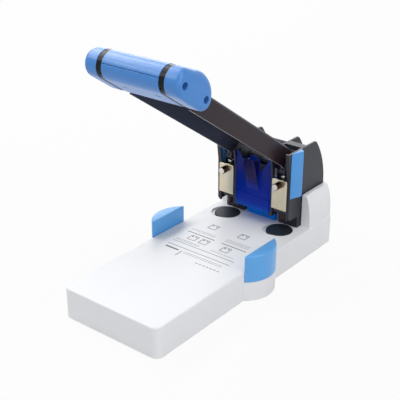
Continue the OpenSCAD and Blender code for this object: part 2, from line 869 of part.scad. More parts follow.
// Chip box: open body, front panel with two raised corners, a pull that leans out, and an apron behind the
// paper stop
module chip_box() {
    w = 2 * box_x;
    l = box_rear_y - wall_y;
    panel_t = box_t + 0.5;
    ridge_h = 17;
    ridge_out = 1.2;
    ridge_side = 2;
    color(clear_blue) difference() {
        union() {
            translate([-box_x, wall_y, box_z]) cube([w, l, box_h]);
            translate([0, wall_y + panel_t, box_z]) rotate([90, 0, 0]) linear_extrude(panel_t)
                panel_outline();
            translate([-box_x + ridge_side, wall_y - ridge_out, box_z])
                cube([w - 2 * ridge_side, ridge_out + panel_t / 2, ridge_h]);
            translate([-apron_x, stop_y + slide_gap, deck_z + slide_gap])
                cube([2 * apron_x, apron_t, box_z + box_t / 2 - deck_z - slide_gap]);
            intersection() {
                pull_front(pull_w);
                pull_wedge(pull_w, 0, panel_t / 2);
            }
        }
        translate([-box_x + box_t, wall_y + panel_t, box_z + box_t])
            cube([w - 2 * box_t, l - panel_t - box_t, panel_h]);
        pull_wedge(pull_w - 2 * box_t, box_t, 0);
    }
}

// Front view of the panel: level in the middle, rising in two slopes to its corners
module panel_outline() {
    corner = 1.5;
    middle = 3.4;
    polygon([[-box_x, 0], [box_x, 0], [box_x, panel_h], [box_x - corner, panel_h], [middle, box_h],
             [-middle, box_h], [-box_x + corner, panel_h], [-box_x, panel_h]]);
}

// Front view of the pull, carried out in front of the panel
module pull_front(w) {
    translate([0, wall_y + pull_out, box_z]) rotate([90, 0, 0]) linear_extrude(3 * pull_out) {
        translate([-w / 2, 0]) square([w, pull_top - w / 2]);
        translate([0, pull_top - w / 2]) circle(w / 2);
    }
}

// Side view of the pull as a wedge, its front set back by a wall and its rear at a depth in the panel
module pull_wedge(w, back, depth) {
    slope = pull_out / (pull_top - pull_foot);
    z0 = pull_foot + (back - depth) / slope;
    z1 = pull_top + cut;
    plate_x(-w / 2, w / 2)
        polygon([[wall_y + depth, box_z + z0], [wall_y + depth, box_z + z1],
                 [wall_y + depth - slope * (z1 - z0), box_z + z1]]);
}

// Side guide: a segment of a round column with a rounded upper edge
module side_guide(s) {
    h = guide_h;
    color(light_blue) difference() {
        intersection() {
            translate([s * ear_x, ear_y, guide_z]) rotate_extrude($fn = 128) {
                square([ear_r, h - guide_round]);
                square([ear_r - guide_round, h]);
                translate([ear_r - guide_round, h - guide_round]) circle(guide_round);
            }
            translate([s > 0 ? guide_x : -guide_x - 2 * ear_r, ear_y - ear_r, guide_z - cut])
                cube([2 * ear_r, 2 * ear_r, h + 2 * cut]);
        }
        translate([s > 0 ? guide_x - cut : -guide_x - rail_plug,
                   ear_y - s * rail_step - rail_w / 2 - seat_gap, rail_z - seat_gap])
            cube([rail_plug + cut, rail_w + 2 * seat_gap, rail_t + 2 * seat_gap]);
    }
}

module left_side_guide() { side_guide(left); }
module right_side_guide() { side_guide(right); }

// Flat rail that carries a side guide through the base
module guide_rail(s) {
    color(steel)
        translate([s > 0 ? rail_in : -guide_x - rail_plug + seat_gap,
                   ear_y - s * rail_step - rail_w / 2, rail_z])
            cube([guide_x + rail_plug - seat_gap - rail_in, rail_w, rail_t]);
}

module left_guide_rail() { guide_rail(left); }
module right_guide_rail() { guide_rail(right); }

// Places a lever piece, drawn level at the pivot, at the raised slope
module on_lever() {
    translate([0, pivot_y, pivot_z]) rotate([-lever_rise, 0, 0]) children();
}

// Extrudes an outline given as distance along the lever and height, between two X planes
module along_x(x0, x1) {
    translate([x0, 0, 0]) rotate([90, 0, 90]) linear_extrude(x1 - x0) mirror([1, 0]) children();
}

// Side outline of a lever wall
module lever_wall_outline() {
    translate([lever_mouth - 3, -lever_low]) square([grip_entry - lever_mouth + 3, lever_h]);
    polygon([[grip_entry - cut, inside_low], [channel_end - 2 * end_cut, inside_low],
             [channel_end, inside_low + end_cut], [channel_end, lever_top - end_trim],
             [channel_end - end_trim, lever_top], [grip_entry - cut, lever_top]]);
    polygon([[lever_mouth, lever_top], [0, lobe_r], [0, -lobe_r], [lever_mouth, -lever_low]]);
    circle(lobe_r);
}

// Cross section of the folded channel's outside, seen along the lever
module channel_section() {
    r = 4;
    translate([-lever_w / 2, -lever_w]) square([lever_w, lever_top - r + lever_w]);
    translate([-lever_w / 2 + r, lever_top - r - cut]) square([lever_w - 2 * r, r + cut]);
    for (s = [left, right])
        translate([s * (lever_w / 2 - r), lever_top - r]) circle(r);
}

module lever_channel() {
    wall_x = lever_w / 2 - lever_t;
    color(charcoal) on_lever() difference() {
        intersection() {
            union() {
                for (s = [left, right])
                    along_x(s > 0 ? wall_x : -lever_w / 2, s > 0 ? lever_w / 2 : -wall_x)
                        lever_wall_outline();
                translate([-lever_w / 2, -channel_end + end_trim, lever_top - lever_t])
                    cube([lever_w, channel_end - end_trim - lever_mouth, lever_t]);
            }
            translate([0, lobe_r + cut, 0]) rotate([90, 0, 0])
                linear_extrude(channel_end + lobe_r + 2 * cut) channel_section();
        }
        translate([-lever_w, 0, 0]) rotate([0, 90, 0]) cylinder(d = sleeve_d + 2 * run_gap, h = 2 * lever_w);
        translate([-lever_w, -nose_u, rivet_v]) rotate([0, 90, 0])
            cylinder(d = rivet_d + 2 * run_gap, h = 2 * lever_w);
        for (u = [rod_rear_u, rod_front_u])
            translate([-lever_w, -u, rod_v]) rotate([0, 90, 0])
                cylinder(d = rod_d + 2 * run_gap, h = 2 * lever_w);
    }
}

// Round-nosed shoe that straddles a lever wall and bears on the punch head
module press_shoe(s) {
    x0 = s > 0 ? shoe_in : -shoe_out;
    x1 = s > 0 ? shoe_out : -shoe_in;
    color(steel) on_lever() difference() {
        along_x(x0, x1) {
            translate([nose_u, nose_v]) circle(nose_r);
            translate([nose_u - nose_r, nose_v]) square([2 * nose_r, shoe_rise]);
        }
        along_x(s * wall_mid - lever_t / 2 - run_gap, s * wall_mid + lever_t / 2 + run_gap)
            translate([nose_u - 2 * nose_r, shoe_floor]) square([4 * nose_r, 2 * shoe_rise]);
        translate([x0 - cut, -nose_u, rivet_v]) rotate([0, 90, 0])
            cylinder(d = rivet_d + 2 * run_gap, h = x1 - x0 + 2 * cut);
    }
}

module left_press_shoe() { press_shoe(left); }
module right_press_shoe() { press_shoe(right); }

module shoe_rivets() {
    head_h = 1.5;
    grip = shoe_out - shoe_in;
    color(steel) on_lever()
        for (s = [left, right])
            translate([(s > 0 ? shoe_in : -shoe_out) - head_h, -nose_u, rivet_v]) rotate([0, 90, 0]) {
                translate([0, 0, head_h]) cylinder(d = rivet_d, h = grip);
                for (z = [0, grip + head_h])
                    translate([0, 0, z]) cylinder(d = 1.6 * rivet_d, h = head_h);
            }
}

// Sleeve that turns on the pivot shaft and spaces the lever between the walls
module pivot_sleeve(s) {
    x0 = inner_x + slide_gap;
    x1 = outer_x - boss_l - slide_gap;
    color(steel) on_lever() translate([s > 0 ? x0 : -x1, 0, 0]) rotate([0, 90, 0]) difference() {
        cylinder(d = sleeve_d, h = x1 - x0);
        translate([0, 0, -cut]) cylinder(d = pivot_d + 2 * run_gap, h = x1 - x0 + 2 * cut);
    }
}

module left_pivot_sleeve() { pivot_sleeve(left); }
module right_pivot_sleeve() { pivot_sleeve(right); }

// Outer tangent of two circles, on the left of the way from the first to the second
function tangent(c1, r1, c2, r2) =
    let (d = c2 - c1, a = atan2(d.y, d.x) - acos((r1 - r2) / norm(d)), n = [cos(a), sin(a)])
    [c1 + r1 * n, c2 + r2 * n];

// Cross section of the grip, drawn in by a margin
module grip_section(margin) {
    rear = grip_rear_r - margin;
    front = grip_front_r - margin;
    top = grip_top_r - margin;
    // The flats lie a hair inside the tangents, so that they cross the arcs
    hair = 0.01;
    polygon(concat(tangent(rear_c, rear - hair, front_c, front - hair),
                   tangent(front_c, front - hair, top_c, top - hair),
                   tangent(top_c, top - hair, rear_c, rear - hair)));
    translate(rear_c) circle(rear);
    translate(front_c) circle(front);
    translate(top_c) circle(top);
}

// Space that the channel takes inside the grip
module channel_room() {
    grow = seat_gap;
    wall_x = lever_w / 2 - lever_t;
    for (s = [left, right])
        along_x(s > 0 ? wall_x - grow : -lever_w / 2 - grow, s > 0 ? lever_w / 2 + grow : -wall_x + grow)
            translate([grip_rear_u - lever_w, inside_low - grow])
                square([channel_end - grip_rear_u + lever_w, lever_top - inside_low + 2 * grow]);
    translate([-lever_w / 2, -channel_end, lever_top - lever_t - grow])
        cube([lever_w, channel_end - grip_rear_u + lever_w, lever_t + 2 * grow]);
}

// Hollow length of the grip between two X planes
module grip_tube(x0, x1) {
    difference() {
        along_x(x0, x1) difference() {
            grip_section(0);
            grip_section(grip_t);
        }
        channel_room();
    }
}

// Half space below the shells' seam, which follows the channel's top at the rear of the grip
module below_seam(shift) {
    rear_v = lever_top - lever_t / 2;
    translate([-grip_l, -grip_reach - cut, seam_v + shift - grip_h])
        cube([2 * grip_l, grip_depth + 2 * cut, grip_h]);
    translate([-grip_l, -top_c.x, rear_v - grip_h]) cube([2 * grip_l, grip_depth, grip_h]);
}

module grip_upper_shell() {
    color(light_blue) on_lever() difference() {
        grip_tube(-band_x, band_x);
        below_seam(seam_gap);
    }
}

module grip_lower_shell() {
    slot_x = 22;
    slot_l = 8;
    slot_w = 2;
    slot_back = 28;
    color(light_blue) on_lever() difference() {
        intersection() {
            grip_tube(-band_x, band_x);
            below_seam(-seam_gap);
        }
        // Release slots of the snap hooks
        for (s = [left, right])
            translate([s * slot_x - slot_l / 2, -grip_reach + slot_back, grip_low - cut])
                cube([slot_l, slot_w, grip_t + 2 * cut]);
    }
}

module grip_band(s) {
    x0 = s > 0 ? band_x : -cap_x;
    sink = 0.4;
    color(black) on_lever() difference() {
        along_x(x0 + seat_gap, x0 + band_w - seat_gap) difference() {
            grip_section(sink);
            grip_section(grip_t);
        }
        channel_room();
    }
}

module left_grip_band() { grip_band(left); }
module right_grip_band() { grip_band(right); }

// End cap with a rounded end and two screw wells
module grip_cap(s) {
    color(light_blue) on_lever() difference() {
        mirror([s > 0 ? 0 : 1, 0, 0]) hull() {
            along_x(cap_x, grip_half - grip_round) grip_section(0, $fn = blend_fn);
            for (a = [20, 40, 60, 80])
                translate([grip_half - grip_round + grip_round * sin(a) / sin(80) - slab, 0, 0])
                    along_x(0, slab) grip_section(grip_round * (1 - cos(a)), $fn = blend_fn);
        }
        for (u = [rod_rear_u, rod_front_u])
            translate([0, -u, rod_v]) rotate([0, s * 90, 0]) {
                translate([0, 0, cap_x - cut]) cylinder(d = rod_d + 2 * seat_gap, h = rod_half - cap_x + cut);
                translate([0, 0, cap_x]) cylinder(d = screw_d + 2 * seat_gap, h = grip_half);
                translate([0, 0, grip_half - cap_hole_l]) cylinder(d = cap_hole_d, h = cap_hole_l + cut);
            }
    }
}

module left_grip_cap() { grip_cap(left); }
module right_grip_cap() { grip_cap(right); }

// Cross rods that carry the grip in the lever's walls
module grip_rods() {
    tapped_l = 9;
    color(steel) on_lever()
        for (u = [rod_rear_u, rod_front_u])
            translate([0, -u, rod_v]) rotate([0, 90, 0]) difference() {
                translate([0, 0, -rod_half + seat_gap]) cylinder(d = rod_d, h = 2 * (rod_half - seat_gap));
                for (s = [left, right])
                    translate([0, 0, s * (rod_half - tapped_l / 2)])
                        cylinder(d = screw_d + 2 * run_gap, h = tapped_l + cut, center = true);
            }
}

module grip_screws() {
    reach = 7;
    cross_l = 4;
    cross_w = 1;
    color(steel) on_lever()
        for (u = [rod_rear_u, rod_front_u], s = [left, right])
            translate([0, -u, rod_v]) rotate([0, s * 90, 0]) {
                translate([0, 0, rod_half - reach])
                    cylinder(d = screw_d, h = grip_half - cap_hole_l - rod_half + reach);
                translate([0, 0, grip_half - cap_hole_l]) difference() {
                    cylinder(d = screw_head_d, h = screw_head_h);
                    for (r = [0, 90])
                        rotate(r) translate([0, 0, screw_head_h])
                            cube([cross_l, cross_w, cross_l / 2], center = true);
                }
            }
}

base_shell();
bottom_plate();
rubber_feet();
bottom_screws();
sole_plate();
rail_keepers();
tower_block();
left_inner_wall();
right_inner_wall();
left_outer_wall();
right_outer_wall();
left_bridge();
right_bridge();
left_shelf();
right_shelf();
spacer_rods();
tower_screws();
pivot_shaft();
retaining_rings();
left_side_pad();
right_side_pad();
left_cassette_body();
right_cassette_body();
left_cassette_plate();
right_cassette_plate();
left_pull_stud();
right_pull_stud();
left_cutting_disc();
right_cutting_disc();
left_punch();
right_punch();
left_return_spring();
right_return_spring();
chip_box();
left_side_guide();
right_side_guide();
left_guide_rail();
right_guide_rail();
lever_channel();
left_press_shoe();
right_press_shoe();
shoe_rivets();
left_pivot_sleeve();
right_pivot_sleeve();
grip_upper_shell();
grip_lower_shell();
left_grip_band();
right_grip_band();
left_grip_cap();
right_grip_cap();
grip_rods();
grip_screws();
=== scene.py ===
"""Looks of a heavy duty two-hole lever punch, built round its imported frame.

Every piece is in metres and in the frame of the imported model: +X to the right, +Y to the rear and +Z up,
with the origin under the middle of the base. The lever stands raised at rest.
"""

from __future__ import annotations

import json
import logging
import math
from abc import ABC, abstractmethod
from dataclasses import dataclass, field
from enum import Enum

import bmesh
import bpy
from mathutils import Matrix, Vector

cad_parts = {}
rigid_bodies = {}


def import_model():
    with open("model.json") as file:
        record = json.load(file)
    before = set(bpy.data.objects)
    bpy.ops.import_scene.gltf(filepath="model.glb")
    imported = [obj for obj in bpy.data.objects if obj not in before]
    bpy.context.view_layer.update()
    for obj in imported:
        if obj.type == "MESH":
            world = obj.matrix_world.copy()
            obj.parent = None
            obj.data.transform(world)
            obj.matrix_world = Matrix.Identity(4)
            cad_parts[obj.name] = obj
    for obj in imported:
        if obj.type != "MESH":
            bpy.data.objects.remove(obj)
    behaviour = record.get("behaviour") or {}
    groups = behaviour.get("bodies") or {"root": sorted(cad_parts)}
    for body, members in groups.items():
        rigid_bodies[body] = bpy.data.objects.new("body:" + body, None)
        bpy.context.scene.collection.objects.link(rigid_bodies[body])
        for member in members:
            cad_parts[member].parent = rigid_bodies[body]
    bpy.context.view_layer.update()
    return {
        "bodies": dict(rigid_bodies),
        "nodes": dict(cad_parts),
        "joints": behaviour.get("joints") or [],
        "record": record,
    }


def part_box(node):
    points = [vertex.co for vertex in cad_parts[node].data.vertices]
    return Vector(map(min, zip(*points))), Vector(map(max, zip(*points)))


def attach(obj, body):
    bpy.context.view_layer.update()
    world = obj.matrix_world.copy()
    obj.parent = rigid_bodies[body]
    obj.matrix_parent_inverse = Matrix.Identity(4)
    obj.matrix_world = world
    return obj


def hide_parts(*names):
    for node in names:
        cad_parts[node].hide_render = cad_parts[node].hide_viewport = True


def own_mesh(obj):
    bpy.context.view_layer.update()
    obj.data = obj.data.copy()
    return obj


# Places, directions and stretches are triples along X, Y and Z. Colours are linear.
Triple = tuple[float, float, float]
Colour = tuple[float, float, float]
Socket = bpy.types.NodeSocket

LOG = logging.getLogger("lever_punch")
MM = 0.001
QUARTER_TURN = math.radians(90)
FRONT: Triple = (0.0, -1.0, 0.0)
WHITE: Colour = (1.0, 1.0, 1.0)
PLASTIC_IOR = 1.5

# Angle in degrees above which an edge of a new piece stays sharp.
CREASE = 35.0

# Rays that soften an edge, and how far the softened normal leaves the true one where the edge counts in full.
EDGE_SAMPLES = 6
EDGE_LIMIT = 0.12


class Side(Enum):
    """The two sides of the punch, with the sign of their X."""

    LEFT = -1
    RIGHT = 1

    @property
    def label(self) -> str:
        """Word that starts the names of this side's pieces."""
        return self.name.lower()


class Slot(Enum):
    """Material slots of the record."""

    WHITE_SHELL = "white_shell"
    BRIGHT_STEEL = "bright_steel"
    SPRING_STEEL = "spring_steel"
    FOOT_RUBBER = "foot_rubber"
    DARK_PAINT = "dark_paint"
    LEVER_PAINT = "lever_paint"
    BLUE_PLASTIC = "blue_plastic"
    POLISHED_PLATE = "polished_plate"
    DISC_PLASTIC = "disc_plastic"
    CLEAR_BLUE = "clear_blue_plastic"
    BLACK_PLASTIC = "black_plastic"


@dataclass(frozen=True)
class Pattern:
    """A noise pattern on an object's own coordinates.

    Attributes:
        size: Size of one grain in metres.
        detail: Levels of finer noise.
        stretch: Share of the scale along X, Y and Z, below 1 to lengthen the grains.
    """

    size: float
    detail: float
    stretch: Triple = (1.0, 1.0, 1.0)


@dataclass(frozen=True)
class Ramp:
    """A straight way from one value to another.

    Attributes:
        low: Result up to the start.
        high: Result from the end on.
        start: Value at which the ramp starts. Noise mostly lies between the defaults.
        end: Value at which it ends.
    """

    low: float
    high: float
    start: float = 0.3
    end: float = 0.7

    def times(self, share: float) -> Ramp:
        """Gives the same ramp with its results scaled."""
        return Ramp(self.low * share, self.high * share, self.start, self.end)


# How alike a face's direction and a given one are where the face starts to count and counts in full.
FACING = Ramp(0.0, 1.0, 0.7, 0.9)


def tone(colour: Colour, share: float) -> Colour:
    """Scales a colour, kept within 0 to 1."""
    return tuple(min(1.0, channel * share) for channel in colour)


def rgba(colour: Colour) -> tuple[float, float, float, float]:
    """Gives a colour full cover, as the sockets want it."""
    return (*colour, 1.0)


class Graph:
    """Node tree of one material or world, with short calls that add and join nodes.

    Attributes:
        owner: The material or world.
        tree: Its nodes and links.
        texture: Node of the texture coordinates.
        coords: Place on the object in metres.
    """

    def __init__(self, owner: bpy.types.Material | bpy.types.World) -> None:
        """Starts an empty tree.

        Args:
            owner: New material or world.
        """
        self.owner = owner
        owner.use_nodes = True
        self.tree = owner.node_tree
        self.tree.nodes.clear()
        self.texture = self.add("ShaderNodeTexCoord")
        self.coords = self.texture.outputs["Object"]

    @classmethod
    def of_material(cls, name: str) -> Graph:
        """Starts the tree of a new material."""
        return cls(bpy.data.materials.new(name))

    def add(self, kind: str, inputs: dict[str | int, object] | None = None) -> bpy.types.Node:
        """Adds a node.

        Args:
            kind: Type of the node.
            inputs: Values or sockets for its inputs, by name or number.

        Returns:
            The new node.
        """
        node = self.tree.nodes.new(kind)
        for name, value in (inputs or {}).items():
            if isinstance(value, Socket):
                self.tree.links.new(value, node.inputs[name])
            else:
                node.inputs[name].default_value = value
        return node

    def noise(self, pattern: Pattern) -> Socket:
        """Adds noise on the object's own coordinates.

        Args:
            pattern: Size and form of the noise.

        Returns:
            The noise value, 0 to 1.
        """
        mapping = self.add("ShaderNodeMapping", {"Vector": self.coords, "Scale": pattern.stretch})
        inputs = {"Vector": mapping.outputs["Vector"], "Scale": 1.0 / pattern.size, "Detail": pattern.detail}
        return self.add("ShaderNodeTexNoise", inputs).outputs["Fac"]

    def shade(self, value: Socket, stops: list[tuple[float, Colour]]) -> Socket:
        """Maps a value to colours.

        Args:
            value: Value from 0 to 1.
            stops: Places and linear colours of the ramp.

        Returns:
            The colour.
        """
        node = self.add("ShaderNodeValToRGB", {"Fac": value})
        ramp = node.color_ramp
        while len(ramp.elements) < len(stops):
            ramp.elements.new(1.0)
        for element, (place, colour) in zip(ramp.elements, stops):
            element.position = place
            element.color = rgba(colour)
        return node.outputs["Color"]

    def tinted(self, value: Socket, colour: Colour, drift: Ramp) -> Socket:
        """Lets a colour drift with a value.

        Args:
            value: Value from 0 to 1.
            colour: Mean colour.
            drift: Shares of the colour, and the values between which it drifts.

        Returns:
            The colour.
        """
        stops = [(drift.start, tone(colour, drift.low)), (drift.end, tone(colour, drift.high))]
        return self.shade(value, stops)

    def spread(self, value: Socket, ramp: Ramp) -> Socket:
        """Maps a value by a ramp."""
        return self.add("ShaderNodeMapRange", {
            "Value": value,
            "From Min": ramp.start,
            "From Max": ramp.end,
            "To Min": ramp.low,
            "To Max": ramp.high,
        }).outputs["Result"]

    def rounded(self, radius: float) -> Socket:
        """Softens the normals of the edges.

        Args:
            radius: Distance in metres within which an edge is softened.

        Returns:
            The softened normal.
        """
        node = self.add("ShaderNodeBevel", {"Radius": radius})
        node.samples = EDGE_SAMPLES
        return node.outputs["Normal"]

    def bump(self, height: Socket, depth: float, normal: Socket) -> Socket:
        """Adds relief of a depth in metres on top of a normal."""
        inputs = {"Height": height, "Distance": depth, "Strength": 1.0, "Normal": normal}
        return self.add("ShaderNodeBump", inputs).outputs["Normal"]

    def dot(self, first: Socket, second: Socket | Triple) -> Socket:
        """Compares two directions.

        Args:
            first: One direction.
            second: The other.

        Returns:
            Their likeness, 1 where they agree.
        """
        node = self.add("ShaderNodeVectorMath", {0: first, 1: second})
        node.operation = "DOT_PRODUCT"
        return node.outputs["Value"]

    def edges(self, radius: float) -> Socket:
        """Finds the edges, where the softened normal leaves the true one.

        Args:
            radius: Width of the edge in metres.

        Returns:
            0 on the faces and 1 along the edges.
        """
        face = self.add("ShaderNodeNewGeometry").outputs["Normal"]
        return self.spread(self.dot(self.rounded(radius), face), Ramp(0.0, 1.0, 1.0, 1.0 - EDGE_LIMIT))

    def place(self, axis: str) -> Socket:
        """Gives the place along an axis of the object in metres."""
        return self.add("ShaderNodeSeparateXYZ", {"Vector": self.coords}).outputs[axis]

    def along(self, axis: str, start: float, end: float) -> Socket:
        """Maps a place along an axis of the object, in metres from start to end, on to 0 to 1."""
        return self.spread(self.place(axis), Ramp(0.0, 1.0, start, end))

    def off_middle(self, start: float, end: float) -> Socket:
        """Maps a distance from the middle plane, in metres from start to end, on to 0 to 1."""
        return self.spread(self.maths("ABSOLUTE", self.place("X")), Ramp(0.0, 1.0, start, end))

    def facing(self, way: Triple) -> Socket:
        """Gives 1 on the faces of the object that look along a direction of its own frame."""
        return self.spread(self.dot(self.texture.outputs["Normal"], way), FACING)

    def mixed(self, factor: Socket, first: Socket | Colour, second: Socket | Colour) -> Socket:
        """Blends two colours.

        Args:
            factor: Share of the second colour.
            first: One colour.
            second: The other.

        Returns:
            The blend.
        """
        node = self.add("ShaderNodeMix")
        node.data_type = "RGBA"
        sockets = [s for s in node.inputs if s.enabled]
        for target, value in zip(sockets, (factor, first, second)):
            if isinstance(value, Socket):
                self.tree.links.new(value, target)
            else:
                target.default_value = rgba(value)
        return next(s for s in node.outputs if s.enabled)

    def maths(self, operation: str, first: Socket | float, second: Socket | float = 0.0) -> Socket:
        """Joins two values.

        Args:
            operation: Name of the operation.
            first: One value.
            second: The other, for an operation that needs it.

        Returns:
            The result.
        """
        node = self.add("ShaderNodeMath", {0: first, 1: second})
        node.operation = operation
        return node.outputs["Value"]

    def blend(self, factor: Socket | float, first: Socket, second: Socket) -> Socket:
        """Blends two shaders by a factor."""
        return self.add("ShaderNodeMixShader", {0: factor, 1: first, 2: second}).outputs["Shader"]

    def seen_directly(self) -> Socket:
        """Tells which rays show a surface in the picture.

        Returns:
            1 for rays from the camera, a reflection or a clear piece, and 0 for light that spreads.
        """
        path = self.add("ShaderNodeLightPath").outputs
        seen = self.maths("MAXIMUM", path["Is Camera Ray"], path["Is Glossy Ray"])
        return self.maths("MAXIMUM", seen, path["Is Transmission Ray"])

    def finish(self, shader: Socket) -> bpy.types.Material | bpy.types.World:
        """Sends a shader to the surface.

        Args:
            shader: Shader of the whole surface.

        Returns:
            The material or world.
        """
        kind = "World" if isinstance(self.owner, bpy.types.World) else "Material"
        self.add(f"ShaderNodeOutput{kind}", {"Surface": shader})
        return self.owner

    def principled(self, inputs: dict[str, object]) -> bpy.types.Material:
        """Finishes the material with one surface shader."""
        return self.finish(self.add("ShaderNodeBsdfPrincipled", inputs).outputs["BSDF"])


@dataclass(frozen=True)
class Finish(ABC):
    """A finish that one slot of the record takes.

    Attributes:
        slot: Slot of the record.
        colour: Base colour.
        roughness: Mean roughness.
        edge: Radius that softens the edges, in metres.
        nodes: CAD nodes that alone take this finish, or none for all the nodes of the slot.
    """

    slot: Slot
    colour: Colour
    roughness: float
    edge: float
    nodes: tuple[str, ...] = ()

    def start(self) -> Graph:
        """Starts the material, named for the slot and, where there is one, the first of its own nodes."""
        return Graph.of_material("_".join((self.slot.value, *self.nodes[:1])))

    @abstractmethod
    def make(self) -> bpy.types.Material:
        """Builds the material."""


@dataclass(frozen=True)
class MouldedPlastic(Finish):
    """Moulded plastic with a fine spark-eroded grain and slow flow marks.

    Attributes:
        relief: Depth of the grain in metres.
        mottle: Share by which the flow marks change the colour.
        specular: Specular level.
        grain: Pattern of the grain.
        flow: Pattern of the flow marks.
        sheen: Shares by which the flow marks change the roughness.
    """

    relief: float = 0.004 * MM
    mottle: float = 0.02
    specular: float = 0.5
    grain: Pattern = Pattern(0.35 * MM, 2.0)
    flow: Pattern = Pattern(35 * MM, 4.0, (1.0, 0.5, 1.0))
    sheen: Ramp = Ramp(0.9, 1.12, 0.1, 0.9)

    def make(self) -> bpy.types.Material:
        """Builds the material.

        Returns:
            The new material.
        """
        graph = self.start()
        flow = graph.noise(self.flow)
        drift = Ramp(1 - self.mottle, 1 + self.mottle, self.sheen.start, self.sheen.end)
        return graph.principled({
            "Base Color": graph.tinted(flow, self.colour, drift),
            "Roughness": graph.spread(flow, self.sheen.times(self.roughness)),
            "Normal": graph.bump(graph.noise(self.grain), self.relief, graph.rounded(self.edge)),
            "IOR": PLASTIC_IOR,
            "Specular IOR Level": self.specular,
        })


@dataclass(frozen=True)
class PaintedSteel(Finish):
    """Sheet steel under a baked coat, with orange peel and lighter edges that are partly a thin coat and
    partly a painted highlight where the edges catch the light.

    Attributes:
        relief: Depth of the orange peel in metres.
        specular: Specular level.
        bare: Colour along the sheared edges, partly thin coat and partly painted highlight.
        worn_edge: Width of the lighter edges in metres.
        wear: Share of the lighter edges that shows, speck by speck.
        speck: Pattern of the specks along the edges.
        peel: Pattern of the orange peel.
        cloud: Pattern of the slow drift.
        drift: Shares by which the colour drifts.
        sheen: Shares by which the roughness drifts.
    """

    relief: float = 0.01 * MM
    specular: float = 0.38
    bare: Colour = (0.16, 0.16, 0.17)
    worn_edge: float = 0.35 * MM
    wear: Ramp = Ramp(0.15, 0.75)
    speck: Pattern = Pattern(0.25 * MM, 1.0)
    peel: Pattern = Pattern(1.1 * MM, 2.0)
    cloud: Pattern = Pattern(22 * MM, 4.0)
    drift: Ramp = Ramp(0.92, 1.08, 0.2, 0.8)
    sheen: Ramp = Ramp(0.93, 1.08, 0.2, 0.8)

    def coat(self, graph: Graph, cloud: Socket) -> Socket:
        """Colours the coat.

        Args:
            graph: Tree of the material.
            cloud: Slow noise.

        Returns:
            The coat's colour.
        """
        return graph.tinted(cloud, self.colour, self.drift)

    def make(self) -> bpy.types.Material:
        """Builds the material.

        Returns:
            The new material.
        """
        graph = self.start()
        cloud = graph.noise(self.cloud)
        # Lighter edges, speck by speck: partly a thinned coat, partly a painted highlight on the sheet edges.
        specks = graph.spread(graph.noise(self.speck), self.wear)
        wear_and_sheen = graph.maths("MULTIPLY", graph.edges(self.worn_edge), specks)
        return graph.principled({
            "Base Color": graph.mixed(wear_and_sheen, self.coat(graph, cloud), self.bare),
            "Roughness": graph.spread(cloud, self.sheen.times(self.roughness)),
            "Normal": graph.bump(graph.noise(self.peel), self.relief, graph.rounded(self.edge)),
            "IOR": PLASTIC_IOR,
            "Specular IOR Level": self.specular,
        })


@dataclass(frozen=True)
class FoldedLever(PaintedSteel):
    """Coat of the folded lever, with a lighter, bluer inside that is painted bounce light and pale lower rims
    that are a painted highlight.

    Attributes:
        inside: Colour inside the channel: painted bounce light, lighter and bluer than the outside.
        rim: Colour of the sheared lower rims: a painted highlight.
        inner_way: Direction of the rims and of the web's inside, in the frame of the part.
        outer_way: Direction of the web's outside.
        half: Half of the lever's width.
        wall: Thickness of its walls.
        skin: Depths under the sides between which the painted bounce light of the inside starts.
        rim_fade: Width over which the painted highlight of a rim starts.
    """

    inside: Colour = (0.062, 0.072, 0.112)
    rim: Colour = (0.32, 0.30, 0.30)
    inner_way: Triple = (0.0, -0.565, -0.825)
    outer_way: Triple = (0.0, 0.565, 0.825)
    half: float = 41 * MM
    wall: float = 2 * MM
    skin: tuple[float, float] = (0.6 * MM, 0.3 * MM)
    rim_fade: float = 0.2 * MM

    def coat(self, graph: Graph, cloud: Socket) -> Socket:
        """Colours the outside, the inside with painted bounce light and the rims with a painted highlight.

        Args:
            graph: Tree of the material.
            cloud: Slow noise.

        Returns:
            The coat's colour.
        """
        outer = super().coat(graph, cloud)
        under = graph.facing(self.inner_way)
        top = graph.facing(self.outer_way)
        deep, shallow = self.skin
        # Painted bounce light: faces inside the channel take a lighter, bluer colour.
        within = graph.maths("SUBTRACT", 1.0, graph.off_middle(self.half - deep, self.half - shallow))
        inner = graph.maths("MULTIPLY", within, graph.maths("SUBTRACT", 1.0, top))
        coat = graph.mixed(inner, outer, self.inside)
        # Painted highlight on the downward faces of the walls' lower rims.
        margin = graph.off_middle(self.half - self.wall - self.rim_fade, self.half - self.wall)
        return graph.mixed(graph.maths("MULTIPLY", under, margin), coat, self.rim)


